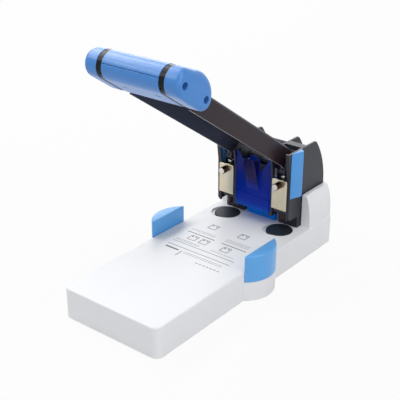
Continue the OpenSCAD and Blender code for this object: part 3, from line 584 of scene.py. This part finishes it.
@dataclass(frozen=True)
class BareMetal(Finish):
    """Bare or plated metal with fine drawn lines and faint handling marks.

    Attributes:
        relief: Depth of the drawn lines in metres.
        haze: Share by which handling marks change the roughness.
        tempered: Colour of the painted shade on the lower end or the sides, or none.
        bright_from: Height in metres where the painted shade ends, or none for a turned stud, shaded on its
            sides.
        fade: Distance in metres over which the painted shade sets in, to either side of that height.
        lines: Pattern of the drawn lines.
        cloud: Pattern of the handling marks.
        drift: Shares by which handling marks change the colour.
    """

    relief: float = 0.0015 * MM
    haze: float = 0.35
    tempered: Colour | None = None
    bright_from: float | None = None
    fade: float = 4 * MM
    lines: Pattern = Pattern(0.2 * MM, 2.0, (1.0, 1.0, 0.05))
    cloud: Pattern = Pattern(9 * MM, 5.0)
    drift: Ramp = Ramp(0.93, 1.05, 0.25, 0.75)

    def make(self) -> bpy.types.Material:
        """Builds the material.

        Returns:
            The new material.
        """
        graph = self.start()
        cloud = graph.noise(self.cloud)
        colour = graph.tinted(cloud, self.colour, self.drift)
        # Painted shade: darkens the punches' lower ends and the studs' sides.
        if self.tempered:
            colour = graph.mixed(self.brightness(graph), self.tempered, colour)
        sheen = Ramp(1 - self.haze, 1 + self.haze)
        return graph.principled({
            "Base Color": colour,
            "Metallic": 1.0,
            "Roughness": graph.spread(cloud, sheen.times(self.roughness)),
            "Normal": graph.bump(graph.noise(self.lines), self.relief, graph.rounded(self.edge)),
        })

    def brightness(self, graph: Graph) -> Socket:
        """Finds the metal that the painted shade leaves bright.

        Args:
            graph: Tree of the material.

        Returns:
            0 under the painted shade and 1 where the metal is bright.
        """
        if self.bright_from is None:
            return graph.facing(FRONT)
        return graph.along("Z", self.bright_from - self.fade, self.bright_from + self.fade)


@dataclass(frozen=True)
class ClearPlastic(Finish):
    """Tinted clear plastic with painted light and shade: a glow low down, shade towards the top and on the
    pull, highlights on the edges.

    Attributes:
        tint: Colour that white light takes when it passes one wall.
        low: Colour near the deck: a painted glow of light that passes through the box.
        high: Colour at the top: painted shade under the lever.
        thick: Colour of the pull: painted shade.
        rim: Colour of the painted highlight along the edges.
        heights: Heights in metres of the low, the base and the high colour.
        pull_y: Place of the front wall, in front of which the pull stands.
        fade: Distance over which the painted shade of the pull starts.
        lit_edge: Width of the painted highlight along the edges.
        lit: Share of that painted highlight.
        clearness: Share of the light that passes straight through.
        glow: Share of the other light that spreads inside the walls, though not in the pull.
        specular: Specular level.
        ior: Index of refraction.
        wave: Pattern of the waves that the mould leaves.
        wave_depth: Depth of the waves.
        haze: Pattern of the handling marks.
        sheen: Shares by which handling marks change the roughness.
    """

    tint: Colour = (0.10, 0.36, 1.0)
    low: Colour = (0.0, 0.38, 1.0)
    high: Colour = (0.010, 0.012, 0.20)
    thick: Colour = (0.010, 0.004, 0.070)
    rim: Colour = (0.06, 0.12, 0.75)
    heights: Triple = (41 * MM, 66 * MM, 112 * MM)
    pull_y: float = 89 * MM
    fade: float = 4 * MM
    lit_edge: float = 0.5 * MM
    lit: float = 0.6
    clearness: float = 0.34
    glow: float = 0.3
    specular: float = 0.25
    ior: float = 1.49
    wave: Pattern = Pattern(14 * MM, 2.0)
    wave_depth: float = 0.05 * MM
    haze: Pattern = Pattern(3 * MM, 4.0)
    sheen: Ramp = Ramp(0.7, 1.4)

    def stain(self, graph: Graph, front: Socket) -> Socket:
        """Paints light and shade: a glow low on the walls, shade towards their top, shade on the pull and
        highlights on the edges.

        Args:
            graph: Tree of the material.
            front: 0 in the walls and 1 in the pull.

        Returns:
            The colour.
        """
        low, middle, high = self.heights
        share = (middle - low) / (high - low)
        # Painted glow near the deck and painted shade towards the top.
        climb = graph.along("Z", low, high)
        walls = graph.shade(climb, [(0.0, self.low), (share, self.colour), (1.0, self.high)])
        # Painted highlight along the edges, over the painted shade of the pull.
        lit = graph.maths("MULTIPLY", graph.edges(self.lit_edge), self.lit)
        return graph.mixed(lit, graph.mixed(front, walls, self.thick), self.rim)

    def make(self) -> bpy.types.Material:
        """Builds the material.

        Returns:
            The new material.
        """
        graph = self.start()
        front = graph.along("Y", self.pull_y, self.pull_y - self.fade)
        normal = graph.bump(graph.noise(self.wave), self.wave_depth, graph.rounded(self.edge))
        body = graph.add("ShaderNodeBsdfPrincipled", {
            "Base Color": self.stain(graph, front),
            "Roughness": graph.spread(graph.noise(self.haze), self.sheen.times(self.roughness)),
            "Normal": normal,
            "IOR": self.ior,
            "Specular IOR Level": self.specular,
        })
        milky = graph.add("ShaderNodeBsdfTranslucent", {"Color": rgba(self.tint), "Normal": normal})
        clear = graph.add("ShaderNodeBsdfTransparent", {"Color": rgba(self.tint)})
        glow = graph.maths("MULTIPLY", graph.maths("SUBTRACT", 1.0, front), self.glow)
        solid = graph.blend(glow, body.outputs["BSDF"], milky.outputs["BSDF"])
        return graph.finish(graph.blend(self.clearness, solid, clear.outputs["BSDF"]))


@dataclass(frozen=True)
class Rubber(Finish):
    """Matt moulded rubber with a coarse bloom.

    Attributes:
        relief: Depth of the grain in metres.
        specular: Specular level.
        grain: Pattern of the grain.
        bloom: Pattern of the bloom.
        drift: Shares by which the bloom changes the colour.
        sheen: Shares by which the bloom changes the roughness.
    """

    relief: float = 0.03 * MM
    specular: float = 0.3
    grain: Pattern = Pattern(0.3 * MM, 2.0)
    bloom: Pattern = Pattern(4 * MM, 5.0)
    drift: Ramp = Ramp(1.0, 1.8, 0.3, 0.75)
    sheen: Ramp = Ramp(0.9, 1.1)

    def make(self) -> bpy.types.Material:
        """Builds the material.

        Returns:
            The new material.
        """
        graph = self.start()
        bloom = graph.noise(self.bloom)
        return graph.principled({
            "Base Color": graph.tinted(bloom, self.colour, self.drift),
            "Roughness": graph.spread(bloom, self.sheen.times(self.roughness)),
            "Normal": graph.bump(graph.noise(self.grain), self.relief, graph.rounded(self.edge)),
            "Specular IOR Level": self.specular,
        })


GRIP_NODES = ("grip_upper_shell", "grip_lower_shell", "left_grip_cap", "right_grip_cap")
PAD_NODES = ("left_side_pad", "right_side_pad")
PIVOT_NODES = ("pivot_shaft", "left_pivot_sleeve", "right_pivot_sleeve", "spacer_rods", "tower_screws",
               "retaining_rings")
PUNCH_NODES = ("left_punch", "right_punch")
STUD_NODES = ("left_pull_stud", "right_pull_stud")

# On large faces the roughness stays clear of about 0.27, where the denoiser leaves contours.
FINISHES: tuple[Finish, ...] = (
    MouldedPlastic(Slot.WHITE_SHELL, (0.87, 0.88, 0.90), 0.36, 0.8 * MM, mottle=0.01, specular=0.25),
    MouldedPlastic(Slot.BLUE_PLASTIC, (0.115, 0.41, 0.85), 0.33, 0.5 * MM, mottle=0.012),
    # The pads and the grip take darker copies of the blue plastic: painted shade.
    MouldedPlastic(Slot.BLUE_PLASTIC, (0.070, 0.325, 0.76), 0.33, 0.5 * MM, PAD_NODES, mottle=0.012),
    MouldedPlastic(Slot.BLUE_PLASTIC, (0.042, 0.230, 0.64), 0.31, 0.5 * MM, GRIP_NODES, mottle=0.012,
                   specular=0.6),
    MouldedPlastic(Slot.DISC_PLASTIC, (0.017, 0.024, 0.036), 0.5, 0.3 * MM, relief=0.01 * MM, mottle=0.12,
                   specular=0.25),
    MouldedPlastic(Slot.BLACK_PLASTIC, (0.004, 0.004, 0.005), 0.22, 0.25 * MM, mottle=0.1, specular=0.15),
    PaintedSteel(Slot.DARK_PAINT, (0.020, 0.022, 0.034), 0.42, 0.4 * MM),
    FoldedLever(Slot.LEVER_PAINT, (0.019, 0.010, 0.015), 0.38, 0.4 * MM, specular=0.24),
    BareMetal(Slot.BRIGHT_STEEL, (0.52, 0.52, 0.52), 0.2, 0.25 * MM),
    # The pivot parts, deep inside the tower, take a near-black colour in place of bright steel: painted
    # shade.
    BareMetal(Slot.BRIGHT_STEEL, (0.035, 0.040, 0.055), 0.45, 0.25 * MM, PIVOT_NODES),
    # The punches take painted shade below the cassettes.
    BareMetal(Slot.BRIGHT_STEEL, (0.52, 0.53, 0.50), 0.2, 0.2 * MM, PUNCH_NODES,
              tempered=(0.045, 0.028, 0.030), bright_from=68 * MM),
    BareMetal(Slot.SPRING_STEEL, (0.30, 0.30, 0.32), 0.36, 0.1 * MM, lines=Pattern(0.2 * MM, 2.0)),
    BareMetal(Slot.POLISHED_PLATE, (0.68, 0.61, 0.46), 0.36, 0.25 * MM, relief=0.0004 * MM, haze=0.15),
    # The studs take painted shade on their sides; their front faces stay bright.
    BareMetal(Slot.POLISHED_PLATE, (0.72, 0.66, 0.62), 0.2, 0.3 * MM, STUD_NODES, relief=0.0004 * MM,
              tempered=(0.05, 0.026, 0.02)),
    ClearPlastic(Slot.CLEAR_BLUE, (0.004, 0.050, 0.50), 0.09, 0.3 * MM),
    Rubber(Slot.FOOT_RUBBER, (0.018, 0.018, 0.019), 0.85, 0.4 * MM),
)


class Palette:
    """The finishes as materials.

    Attributes:
        by_slot: Materials of the record's slots.
        by_node: Materials of the nodes that have a finish of their own.
    """

    def __init__(self) -> None:
        """Makes every material once."""
        made = [(finish, finish.make()) for finish in FINISHES]
        self.by_slot = {finish.slot: material for finish, material in made if not finish.nodes}
        self.by_node = {node: material for finish, material in made for node in finish.nodes}

    def dress_nodes(self, frame: dict) -> None:
        """Gives every CAD node its own finish or that of its slot.

        Args:
            frame: The loaded frame.
        """
        slots = {row["node"]: Slot(row["material_slot"]) for row in frame["record"]["subparts"]}
        for name, node in frame["nodes"].items():
            for place in node.material_slots:
                place.material = self.by_node.get(name, self.by_slot[slots[name]])

    def dress(self, piece: bpy.types.Object, slot: Slot, node: str = "") -> None:
        """Gives a new piece the finish of the node that it stands for, or of a slot."""
        piece.data.materials.append(self.by_node.get(node, self.by_slot[slot]))


def new_piece(name: str, mesh: bmesh.types.BMesh, sharp: float = CREASE) -> bpy.types.Object:
    """Turns a bmesh into an object at the origin with smooth faces and sharp edges.

    Args:
        name: Name of the piece.
        mesh: Its shape, in the frame of the part. It is freed.
        sharp: Angle in degrees above which an edge stays sharp.

    Returns:
        The new object.
    """
    data = bpy.data.meshes.new(name)
    mesh.to_mesh(data)
    mesh.free()
    for polygon in data.polygons:
        polygon.use_smooth = True
    data.set_sharp_from_angle(angle=math.radians(sharp))
    piece = bpy.data.objects.new(name, data)
    bpy.context.scene.collection.objects.link(piece)
    return piece


def cut_out(piece: bpy.types.Object, tool: bpy.types.Object, sharp: float = CREASE) -> None:
    """Cuts a tool's shape out of a piece and removes the tool.

    Args:
        piece: Object that is cut.
        tool: Closed object that is taken away.
        sharp: Angle in degrees above which an edge stays sharp.
    """
    modifier = piece.modifiers.new("cut", "BOOLEAN")
    modifier.object = tool
    modifier.operation = "DIFFERENCE"
    modifier.solver = "EXACT"
    bpy.context.view_layer.update()
    evaluated = piece.evaluated_get(bpy.context.evaluated_depsgraph_get())
    old = piece.data
    piece.data = bpy.data.meshes.new_from_object(evaluated)
    piece.modifiers.clear()
    piece.data.name = piece.name
    piece.data.set_sharp_from_angle(angle=math.radians(sharp))
    bpy.data.objects.remove(tool)
    bpy.data.meshes.remove(old)


@dataclass
class Grip:
    """End caps of the lever's handle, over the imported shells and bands.

    The cross section is the hull of three circles, given by the distance along the lever and the height
    above it.

    Attributes:
        palette: The materials.
        rise: Slope of the raised lever in degrees.
        reach: Distance from the pivot to the front of the grip.
        depth: Depth of the grip along the lever.
        height: Height of the grip.
        low: Height of the grip's underside, from the pivot.
        front_r: Radius of the front.
        rear_r: Radius of the rear.
        top_r: Radius of the crown.
        crown: Distance from the front back to the crown.
        back_r: Radius of the curve by which the ends bulge between the crown and the rear.
        end_round: Rounding of the ends along the underside.
        crown_round: Rounding of the ends along the crown.
        well_d: Diameter of the screw wells.
        well_l: Depth of the screw wells.
        well_inset: Distance of the wells from the front and the rear of the grip.
        well_rise: Height of the wells above the underside.
        well_segments: Sides of a well.
        segments: Sides of the section.
        round_steps: Steps of a rounding.
        last_turn: Angle in radians at which a rounding meets the flat end.
        crease: Angle in degrees above which an edge stays sharp.
        place: Frame of the raised lever, set by build.
    """

    palette: Palette
    rise: float = 34.4
    reach: float = 301.9 * MM
    depth: float = 61.1 * MM
    height: float = 34.5 * MM
    low: float = -5.0 * MM
    front_r: float = 15.7 * MM
    rear_r: float = 11.2 * MM
    top_r: float = 17.3 * MM
    crown: float = 31.4 * MM
    back_r: float = 26 * MM
    end_round: float = 5 * MM
    crown_round: float = 9 * MM
    well_d: float = 8 * MM
    well_l: float = 8 * MM
    well_inset: float = 11 * MM
    well_rise: float = 12.4 * MM
    well_segments: int = 64
    segments: int = 120
    round_steps: int = 12
    last_turn: float = math.radians(84)
    crease: float = 30.0
    place: Matrix = field(default_factory=Matrix)

    def build(self, frame: dict) -> None:
        """Builds both caps.

        Args:
            frame: The loaded frame, whose hinge gives the lever's place.
        """
        hinge = next(joint for joint in frame["joints"] if joint["name"] == "lever_hinge")
        turn = Matrix.Rotation(math.radians(-self.rise), 4, "X")
        self.place = Matrix.Translation(hinge["pos_m"]) @ turn
        for side in Side:
            self.build_cap(side)

    def circles(self) -> list[tuple[Vector, float]]:
        """Lists the circles of the section.

        Returns:
            Centres and radii of the rear, the front and the crown.
        """
        rear = self.reach - self.depth
        return [
            (Vector((rear + self.rear_r, self.low + self.rear_r)), self.rear_r),
            (Vector((self.reach - self.front_r, self.low + self.front_r)), self.front_r),
            (Vector((self.reach - self.crown, self.low + self.height - self.top_r)), self.top_r),
        ]

    def back_curve(self) -> tuple[Vector, float, float]:
        """Finds the curve that touches the circles of the crown and the rear from outside.

        Returns:
            Its centre, and the directions in radians in which it leaves the crown and meets the rear.
        """
        (rear, rear_r), _, (top, top_r) = self.circles()
        span = rear - top
        near, far = self.back_r - top_r, self.back_r - rear_r
        along = (near ** 2 - far ** 2 + span.length_squared) / (2 * span.length)
        inward = Vector((-span.y, span.x)).normalized()
        centre = top + span.normalized() * along + inward * math.sqrt(near ** 2 - along ** 2)
        start, end = (spot - centre for spot in (top, rear))
        return centre, math.atan2(start.y, start.x), math.atan2(end.y, end.x)

    def on_section(self, angle: float, margin: float, bulging: bool) -> Vector:
        """Finds the section's point whose outward direction has an angle.

        Args:
            angle: Direction in radians.
            margin: How far the section is drawn in.
            bulging: Whether the back bulges, as at the ends, or is flat, as on the shells.

        Returns:
            Distance along the lever and height.
        """
        way = Vector((math.cos(angle), math.sin(angle)))
        centre, start, end = self.back_curve()
        if bulging and start < angle < end:
            return centre + way * (self.back_r - margin)
        centre, radius = max(self.circles(), key=lambda circle: circle[0].dot(way) + circle[1])
        return centre + way * (radius - margin)

    def build_cap(self, side: Side) -> None:
        """Builds one cap: a straight sleeve, a rounded end and two screw wells.

        Args:
            side: Side of the cap.
        """
        node = f"{side.label}_grip_cap"
        low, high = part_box(node)
        inner, outer = sorted((abs(low.x), abs(high.x)))
        shape = bmesh.new()
        ring = bmesh.ops.create_circle(shape, segments=self.segments, radius=1.0, cap_ends=True)["verts"]
        angles = {vert: math.atan2(vert.co.y, vert.co.x) for vert in ring}
        self.lay_ring(angles, side, inner)
        edges = list(shape.edges)
        for step in range(self.round_steps + 1):
            turn = self.last_turn * step / self.round_steps
            angles, edges = self.next_ring(shape, edges, angles)
            self.lay_ring(angles, side, outer, turn)
        bmesh.ops.contextual_create(shape, geom=edges)
        bmesh.ops.recalc_face_normals(shape, faces=shape.faces)
        cap = new_piece(f"{side.label}_end_cap", shape, self.crease)
        for tool in self.wells(side, outer):
            cut_out(cap, tool, self.crease)
        self.palette.dress(cap, Slot.BLUE_PLASTIC, node)
        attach(cap, "lever")
        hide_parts(node)
        LOG.info("built %s", cap.name)

    def lay_ring(self, angles: dict, side: Side, end: float, turn: float | None = None) -> None:
        """Puts a ring of vertices on the section.

        Args:
            angles: Section angle of each of the ring's vertices.
            side: Side of the cap.
            end: Distance from the lever's middle of the ring or, on the rounding, of the cap's end.
            turn: Angle along the rounding in radians, or none for a ring of the straight sleeve.
        """
        for vert, angle in angles.items():
            out, margin = end, 0.0
            if turn is not None:
                high = max(0.0, math.sin(angle)) ** 2
                radius = self.end_round + (self.crown_round - self.end_round) * high
                out = end - radius * (1 - math.sin(turn) / math.sin(self.last_turn))
                margin = radius * (1 - math.cos(turn))
            along, up = self.on_section(angle, margin, turn is not None)
            vert.co = self.place @ Vector((side.value * out, -along, up))

    @staticmethod
    def next_ring(shape: bmesh.types.BMesh, edges: list, angles: dict) -> tuple[dict, list]:
        """Extrudes a ring of edges.

        Args:
            shape: The cap's mesh.
            edges: The ring's edges.
            angles: Section angle of each of the ring's vertices.

        Returns:
            The new ring's angles and edges.
        """
        places = {vert.co.copy().freeze(): angle for vert, angle in angles.items()}
        made = bmesh.ops.extrude_edge_only(shape, edges=edges)["geom"]
        verts = [item for item in made if isinstance(item, bmesh.types.BMVert)]
        fresh = [item for item in made if isinstance(item, bmesh.types.BMEdge)]
        return {vert: places[vert.co.copy().freeze()] for vert in verts}, fresh

    def wells(self, side: Side, end: float) -> list[bpy.types.Object]:
        """Makes the tools that cut the screw wells of one cap.

        Args:
            side: Side of the cap.
            end: Distance of the cap's end from the lever's middle.

        Returns:
            The two tools.
        """
        tools = []
        turn = Matrix.Rotation(QUARTER_TURN, 4, "Y")
        radius = self.well_d / 2
        for along in (self.reach - self.depth + self.well_inset, self.reach - self.well_inset):
            shape = bmesh.new()
            spot = Vector((side.value * end, -along, self.low + self.well_rise))
            bmesh.ops.create_cone(shape, cap_ends=True, segments=self.well_segments, radius1=radius,
                                  radius2=radius, depth=2 * self.well_l,
                                  matrix=self.place @ Matrix.Translation(spot) @ turn)
            tools.append(new_piece("well_tool", shape))
        return tools


@dataclass(frozen=True)
class Rounding:
    """Rounded edges of one kind of piece that comes in a left and a right one.

    Attributes:
        node: Name of the CAD nodes after the side.
        body: Name of the body after the side, or the base for a fixed piece.
        slot: Slot of the record.
        radius: Radius of the edges.
    """

    node: str
    body: str
    slot: Slot
    radius: float


@dataclass
class RoundedPieces:
    """Pairs of pieces whose sharp CAD edges are rounded as their moulds or presses leave them.

    Attributes:
        palette: The materials.
        kinds: The kinds of pieces.
        sharp: Angle in degrees above which an edge is rounded.
        segments: Steps of a rounding.
        crease: Angle in degrees above which an edge stays sharp after that.
        weld: Distance in metres below which vertices are joined.
        flat: Angle in degrees below which faces are joined.
    """

    palette: Palette
    kinds: tuple[Rounding, ...] = (
        Rounding("side_pad", "", Slot.BLUE_PLASTIC, 1.1 * MM),
        Rounding("side_guide", "guide", Slot.BLUE_PLASTIC, 0.9 * MM),
        Rounding("cassette_plate", "", Slot.POLISHED_PLATE, 0.4 * MM),
    )
    sharp: float = 35.0
    segments: int = 4
    crease: float = 30.0
    weld: float = 0.001 * MM
    flat: float = 1.0

    def build(self, frame: dict) -> None:
        """Rounds every pair.

        Args:
            frame: The loaded frame, whose nodes are copied.
        """
        for kind in self.kinds:
            for side in Side:
                node = f"{side.label}_{kind.node}"
                shape = self.rounded(frame["nodes"][node].data, kind.radius)
                piece = new_piece(f"{node}_rounded", shape, self.crease)
                self.palette.dress(piece, kind.slot, node)
                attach(piece, f"{side.label}_{kind.body}" if kind.body else "base")
                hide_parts(node)
                LOG.info("built %s", piece.name)

    def rounded(self, source: bpy.types.Mesh, radius: float) -> bmesh.types.BMesh:
        """Copies a node's mesh, joins its triangles and rounds its sharp edges.

        Args:
            source: Mesh of the node, which is left alone.
            radius: Radius of the edges.

        Returns:
            The rounded shape.
        """
        shape = bmesh.new()
        shape.from_mesh(source)
        bmesh.ops.remove_doubles(shape, verts=shape.verts, dist=self.weld)
        bmesh.ops.dissolve_limit(shape, angle_limit=math.radians(self.flat), verts=shape.verts,
                                 edges=shape.edges)
        limit = math.radians(self.sharp)
        edges = [edge for edge in shape.edges if edge.is_manifold and edge.calc_face_angle() > limit]
        bmesh.ops.bevel(shape, geom=edges, offset=radius, offset_type="OFFSET", segments=self.segments,
                        profile=0.5, affect="EDGES", material=-1, clamp_overlap=True)
        return shape


@dataclass
class ReturnSprings:
    """Coil springs that lift the punches.

    Attributes:
        palette: The materials.
        turns: Turns of a spring.
        wire_d: Diameter of the wire.
        wire_segments: Sides of the wire.
        turn_steps: Steps of one turn.
        stroke: Travel that presses a spring together; not used.
        crease: Angle in degrees above which an edge stays sharp.
    """

    palette: Palette
    turns: int = 6
    wire_d: float = 1.3 * MM
    wire_segments: int = 14
    turn_steps: int = 40
    stroke: float = 12 * MM
    crease: float = 60.0

    def build(self) -> None:
        """Winds both springs in the place of their nodes."""
        for side in Side:
            node = f"{side.label}_return_spring"
            low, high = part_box(node)
            spring = new_piece(f"{side.label}_coil_spring", self.wound(low, high), self.crease)
            self.palette.dress(spring, Slot.SPRING_STEEL)
            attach(spring, "base")
            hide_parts(node)
            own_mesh(spring)
            LOG.info("built %s", spring.name)

    def wound(self, low: Vector, high: Vector) -> bmesh.types.BMesh:
        """Winds a wire into a coil that fills a box.

        Args:
            low: Lowest corner of the box.
            high: Highest corner of the box.

        Returns:
            The coil, closed at both ends.
        """
        middle = (low + high) / 2
        wire_r = self.wire_d / 2
        coil_r = (high.x - low.x - self.wire_d) / 2
        start = Vector((middle.x + coil_r, middle.y, low.z + wire_r))
        turn = Matrix.Translation(start) @ Matrix.Rotation(QUARTER_TURN, 4, "X")
        shape = bmesh.new()
        wire = bmesh.ops.create_circle(shape, segments=self.wire_segments, radius=wire_r, cap_ends=False,
                                       matrix=turn)["verts"]
        steps = self.turns * self.turn_steps
        climb = Vector((0, 0, (high.z - low.z - self.wire_d) / steps))
        bmesh.ops.spin(shape, geom=wire + shape.edges[:], cent=middle, axis=(0, 0, 1), dvec=climb,
                       angle=math.tau * self.turns, steps=steps, use_merge=False)
        ends = [edge for edge in shape.edges if edge.is_boundary]
        bmesh.ops.edgeloop_fill(shape, edges=ends)
        bmesh.ops.recalc_face_normals(shape, faces=shape.faces)
        return shape


@dataclass(frozen=True)
class Rules:
    """Printed rules of one kind on the deck, in millimetres.

    Attributes:
        x: Left end.
        length: Size along X.
        width: Size along Y.
        rows: Front edge of each rule.
    """

    x: float
    length: float
    width: float
    rows: tuple[float, ...]


PANEL: tuple[Rules, ...] = (
    Rules(-43.5, 20.0, 2.2, (-27.5,)),
    Rules(-19.3, 0.9, 12.6, (-38.5,)),
    Rules(-46.0, 92.0, 0.7, (-19.5, -10.0)),
    Rules(-15.0, 56.0, 0.45, (-25.5, -28.5)),
    Rules(-46.0, 41.0, 1.2, (18.3,)),
    Rules(6.0, 36.0, 1.2, (18.3,)),
    Rules(-46.0, 36.0, 0.45, (-3.5, -6.0, 25.0, 28.0)),
    Rules(6.0, 34.0, 0.45, (-3.5, 25.0, 28.0, 31.0)),
)


@dataclass
class DeckMarks:
    """Plain printed marks on the deck: rules, dashes, sheet outlines and hole dots.

    The level of the deck and the ink are in metres, and what lies flat on the deck is in millimetres.

    Attributes:
        palette: The materials.
        level: Height of the deck.
        ink: Thickness of the print.
        line: Width of an outline.
        sheets: Middles of the pictograms, each a sheet with two holes.
        sheet_size: Width and depth of a sheet.
        hole_d: Diameter of a hole dot.
        hole_segments: Sides of a hole dot.
        dashes: Number of dashes in the dashed line.
        dash_spot: Left front corner of the first dash.
        dash_size: Length and width of a dash.
        dash_pitch: Distance from dash to dash.
    """

    palette: Palette
    level: float = 39 * MM
    ink: float = 0.03 * MM
    line: float = 0.8
    sheets: tuple[tuple[float, float], ...] = ((-29, 8), (-12, 8), (20, 8), (-27, 46), (17, 48))
    sheet_size: tuple[float, float] = (11.5, 11.5)
    hole_d: float = 2.2
    hole_segments: int = 24
    dashes: int = 7
    dash_spot: tuple[float, float] = (11.0, -38.5)
    dash_size: tuple[float, float] = (3.8, 0.9)
    dash_pitch: float = 5.2

    def build(self) -> None:
        """Prints the whole panel as one piece."""
        shape = bmesh.new()
        for rules in PANEL:
            for row in rules.rows:
                self.add_bar(shape, rules.x, row, rules.length, rules.width)
        start, row = self.dash_spot
        for step in range(self.dashes):
            self.add_bar(shape, start + self.dash_pitch * step, row, *self.dash_size)
        for x, y in self.sheets:
            self.add_sheet(shape, x, y)
        marks = new_piece("deck_marks", shape)
        self.palette.dress(marks, Slot.DISC_PLASTIC)
        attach(marks, "base")
        LOG.info("built %s", marks.name)

    def add_bar(self, shape: bmesh.types.BMesh, x: float, y: float, length: float, width: float) -> None:
        """Lays one bar on the deck.

        Args:
            shape: Mesh of the panel.
            x: Left end.
            y: Front edge.
            length: Size along X.
            width: Size along Y.
        """
        middle = Vector(((x + length / 2) * MM, (y + width / 2) * MM, self.level + self.ink))
        size = Matrix.Diagonal((length * MM, width * MM, self.ink, 1.0))
        bmesh.ops.create_cube(shape, size=1.0, matrix=Matrix.Translation(middle) @ size)

    def add_sheet(self, shape: bmesh.types.BMesh, x: float, y: float) -> None:
        """Draws a sheet's outline with two hole dots along its rear edge.

        Args:
            shape: Mesh of the panel.
            x: Middle of the sheet along X.
            y: Middle of the sheet along Y.
        """
        wide, deep = self.sheet_size
        for row in (y - deep / 2, y + deep / 2 - self.line):
            self.add_bar(shape, x - wide / 2, row, wide, self.line)
        for column in (x - wide / 2, x + wide / 2 - self.line):
            self.add_bar(shape, column, y - deep / 2 + self.line, self.line, deep - 2 * self.line)
        radius = self.hole_d * MM / 2
        for side in Side:
            spot = Vector(((x + side.value * wide / 4) * MM, (y + deep / 4) * MM, self.level + self.ink))
            bmesh.ops.create_cone(shape, cap_ends=True, segments=self.hole_segments, radius1=radius,
                                  radius2=radius, depth=self.ink, matrix=Matrix.Translation(spot))


@dataclass(frozen=True)
class Softbox:
    """A rectangular lamp.

    Attributes:
        name: Name of the lamp.
        spot: Its place.
        size: Width and height.
        power: Power in watts.
    """

    name: str
    spot: Triple
    size: tuple[float, float]
    power: float

    def hang(self, target: Triple) -> None:
        """Hangs the lamp.

        Args:
            target: Point that it faces.
        """
        data = bpy.data.lights.new(self.name, "AREA")
        data.shape = "RECTANGLE"
        data.size, data.size_y = self.size
        data.energy = self.power
        lamp = bpy.data.objects.new(self.name, data)
        lamp.location = self.spot
        lamp.rotation_euler = (Vector(target) - Vector(self.spot)).to_track_quat("-Z", "Y").to_euler()
        bpy.context.scene.collection.objects.link(lamp)


SOFTBOXES: tuple[Softbox, ...] = (
    Softbox("left_softbox", (-1.3, 0.1, 1.5), (1.4, 0.5), 15.0),
    Softbox("front_left_softbox", (-1.3, -1.05, 1.4), (0.8, 0.5), 6.0),
    Softbox("rear_softbox", (-1.2, 1.45, 0.8), (1.6, 0.8), 10.0),
    Softbox("right_softbox", (1.7, -0.1, 0.8), (1.0, 1.0), 8.5),
    Softbox("front_softbox", (0.7, -1.9, 0.5), (2.0, 0.8), 6.0),
    Softbox("top_softbox", (0.6, -0.2, 1.9), (1.2, 1.2), 10.0),
)


@dataclass
class Studio:
    """Camera, floor, lamps and surroundings.

    Attributes:
        spot: Place of the camera.
        tilt: Tilt of the camera from straight down, in degrees.
        turn: Turn of the camera about the vertical, in degrees.
        lens: Focal length in millimetres.
        sensor: Width of the camera's frame in millimetres.
        target: Point that the lamps face.
        floor_size: Side of the square floor.
        floor_colour: Colour of the floor.
        floor_glow: Share of plain white in the floor that the camera sees.
        horizon: Strength of the surrounding light at the horizon.
        zenith: Strength of the surrounding light overhead.
        zenith_from: Upward share of a direction from which it counts as overhead.
    """

    spot: Triple = (0.572842, -0.730264, 0.540598)
    tilt: float = 64.685
    turn: float = 38.699
    lens: float = 79.7276
    sensor: float = 36.0
    target: Triple = (0.0, 0.0, 0.09)
    floor_size: float = 12.0
    floor_colour: Colour = (0.7, 0.7, 0.71)
    floor_glow: float = 0.93
    horizon: float = 0.28
    zenith: float = 0.3
    zenith_from: float = 0.9

    def build(self) -> None:
        """Builds the whole studio."""
        self.build_camera()
        self.build_floor()
        self.build_world()
        for softbox in SOFTBOXES:
            softbox.hang(self.target)
        bpy.context.scene.view_settings.view_transform = "Standard"

    def build_camera(self) -> None:
        """Sets the camera at the photograph's view."""
        data = bpy.data.cameras.new("camera")
        data.lens = self.lens
        data.sensor_width = self.sensor
        camera = bpy.data.objects.new("camera", data)
        camera.location = self.spot
        camera.rotation_euler = (math.radians(self.tilt), 0.0, math.radians(self.turn))
        bpy.context.scene.collection.objects.link(camera)
        bpy.context.scene.camera = camera

    def build_floor(self) -> None:
        """Lays a pale floor that looks white and keeps a soft shadow."""
        shape = bmesh.new()
        bmesh.ops.create_grid(shape, x_segments=1, y_segments=1, size=self.floor_size / 2)
        floor = new_piece("floor", shape)
        graph = Graph.of_material("floor")
        matt = graph.add("ShaderNodeBsdfDiffuse", {"Color": rgba(self.floor_colour)})
        white = graph.add("ShaderNodeEmission", {"Color": rgba(WHITE), "Strength": 1.0})
        share = graph.maths("MULTIPLY", graph.seen_directly(), self.floor_glow)
        surface = graph.blend(share, matt.outputs["BSDF"], white.outputs["Emission"])
        floor.data.materials.append(graph.finish(surface))

    def build_world(self) -> None:
        """Surrounds the scene with nearly even light, which looks plain white."""
        graph = Graph(bpy.data.worlds.new("surroundings"))
        way = graph.add("ShaderNodeSeparateXYZ", {"Vector": graph.texture.outputs["Generated"]})
        sky = graph.spread(way.outputs["Z"], Ramp(self.horizon, self.zenith, 0.0, self.zenith_from))
        lift = graph.add("ShaderNodeMapRange", {"Value": graph.seen_directly(), "To Min": sky, "To Max": 1.0})
        inputs = {"Color": rgba(WHITE), "Strength": lift.outputs["Result"]}
        light = graph.add("ShaderNodeBackground", inputs)
        bpy.context.scene.world = graph.finish(light.outputs["Background"])


def main() -> None:
    """Loads the frame, builds every sub-assembly and sets the studio."""
    logging.basicConfig(level=logging.INFO, format="%(name)s: %(message)s")
    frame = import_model()
    palette = Palette()
    palette.dress_nodes(frame)
    Grip(palette).build(frame)
    RoundedPieces(palette).build(frame)
    ReturnSprings(palette).build()
    DeckMarks(palette).build()
    Studio().build()


if __name__ == "__main__":
    main()
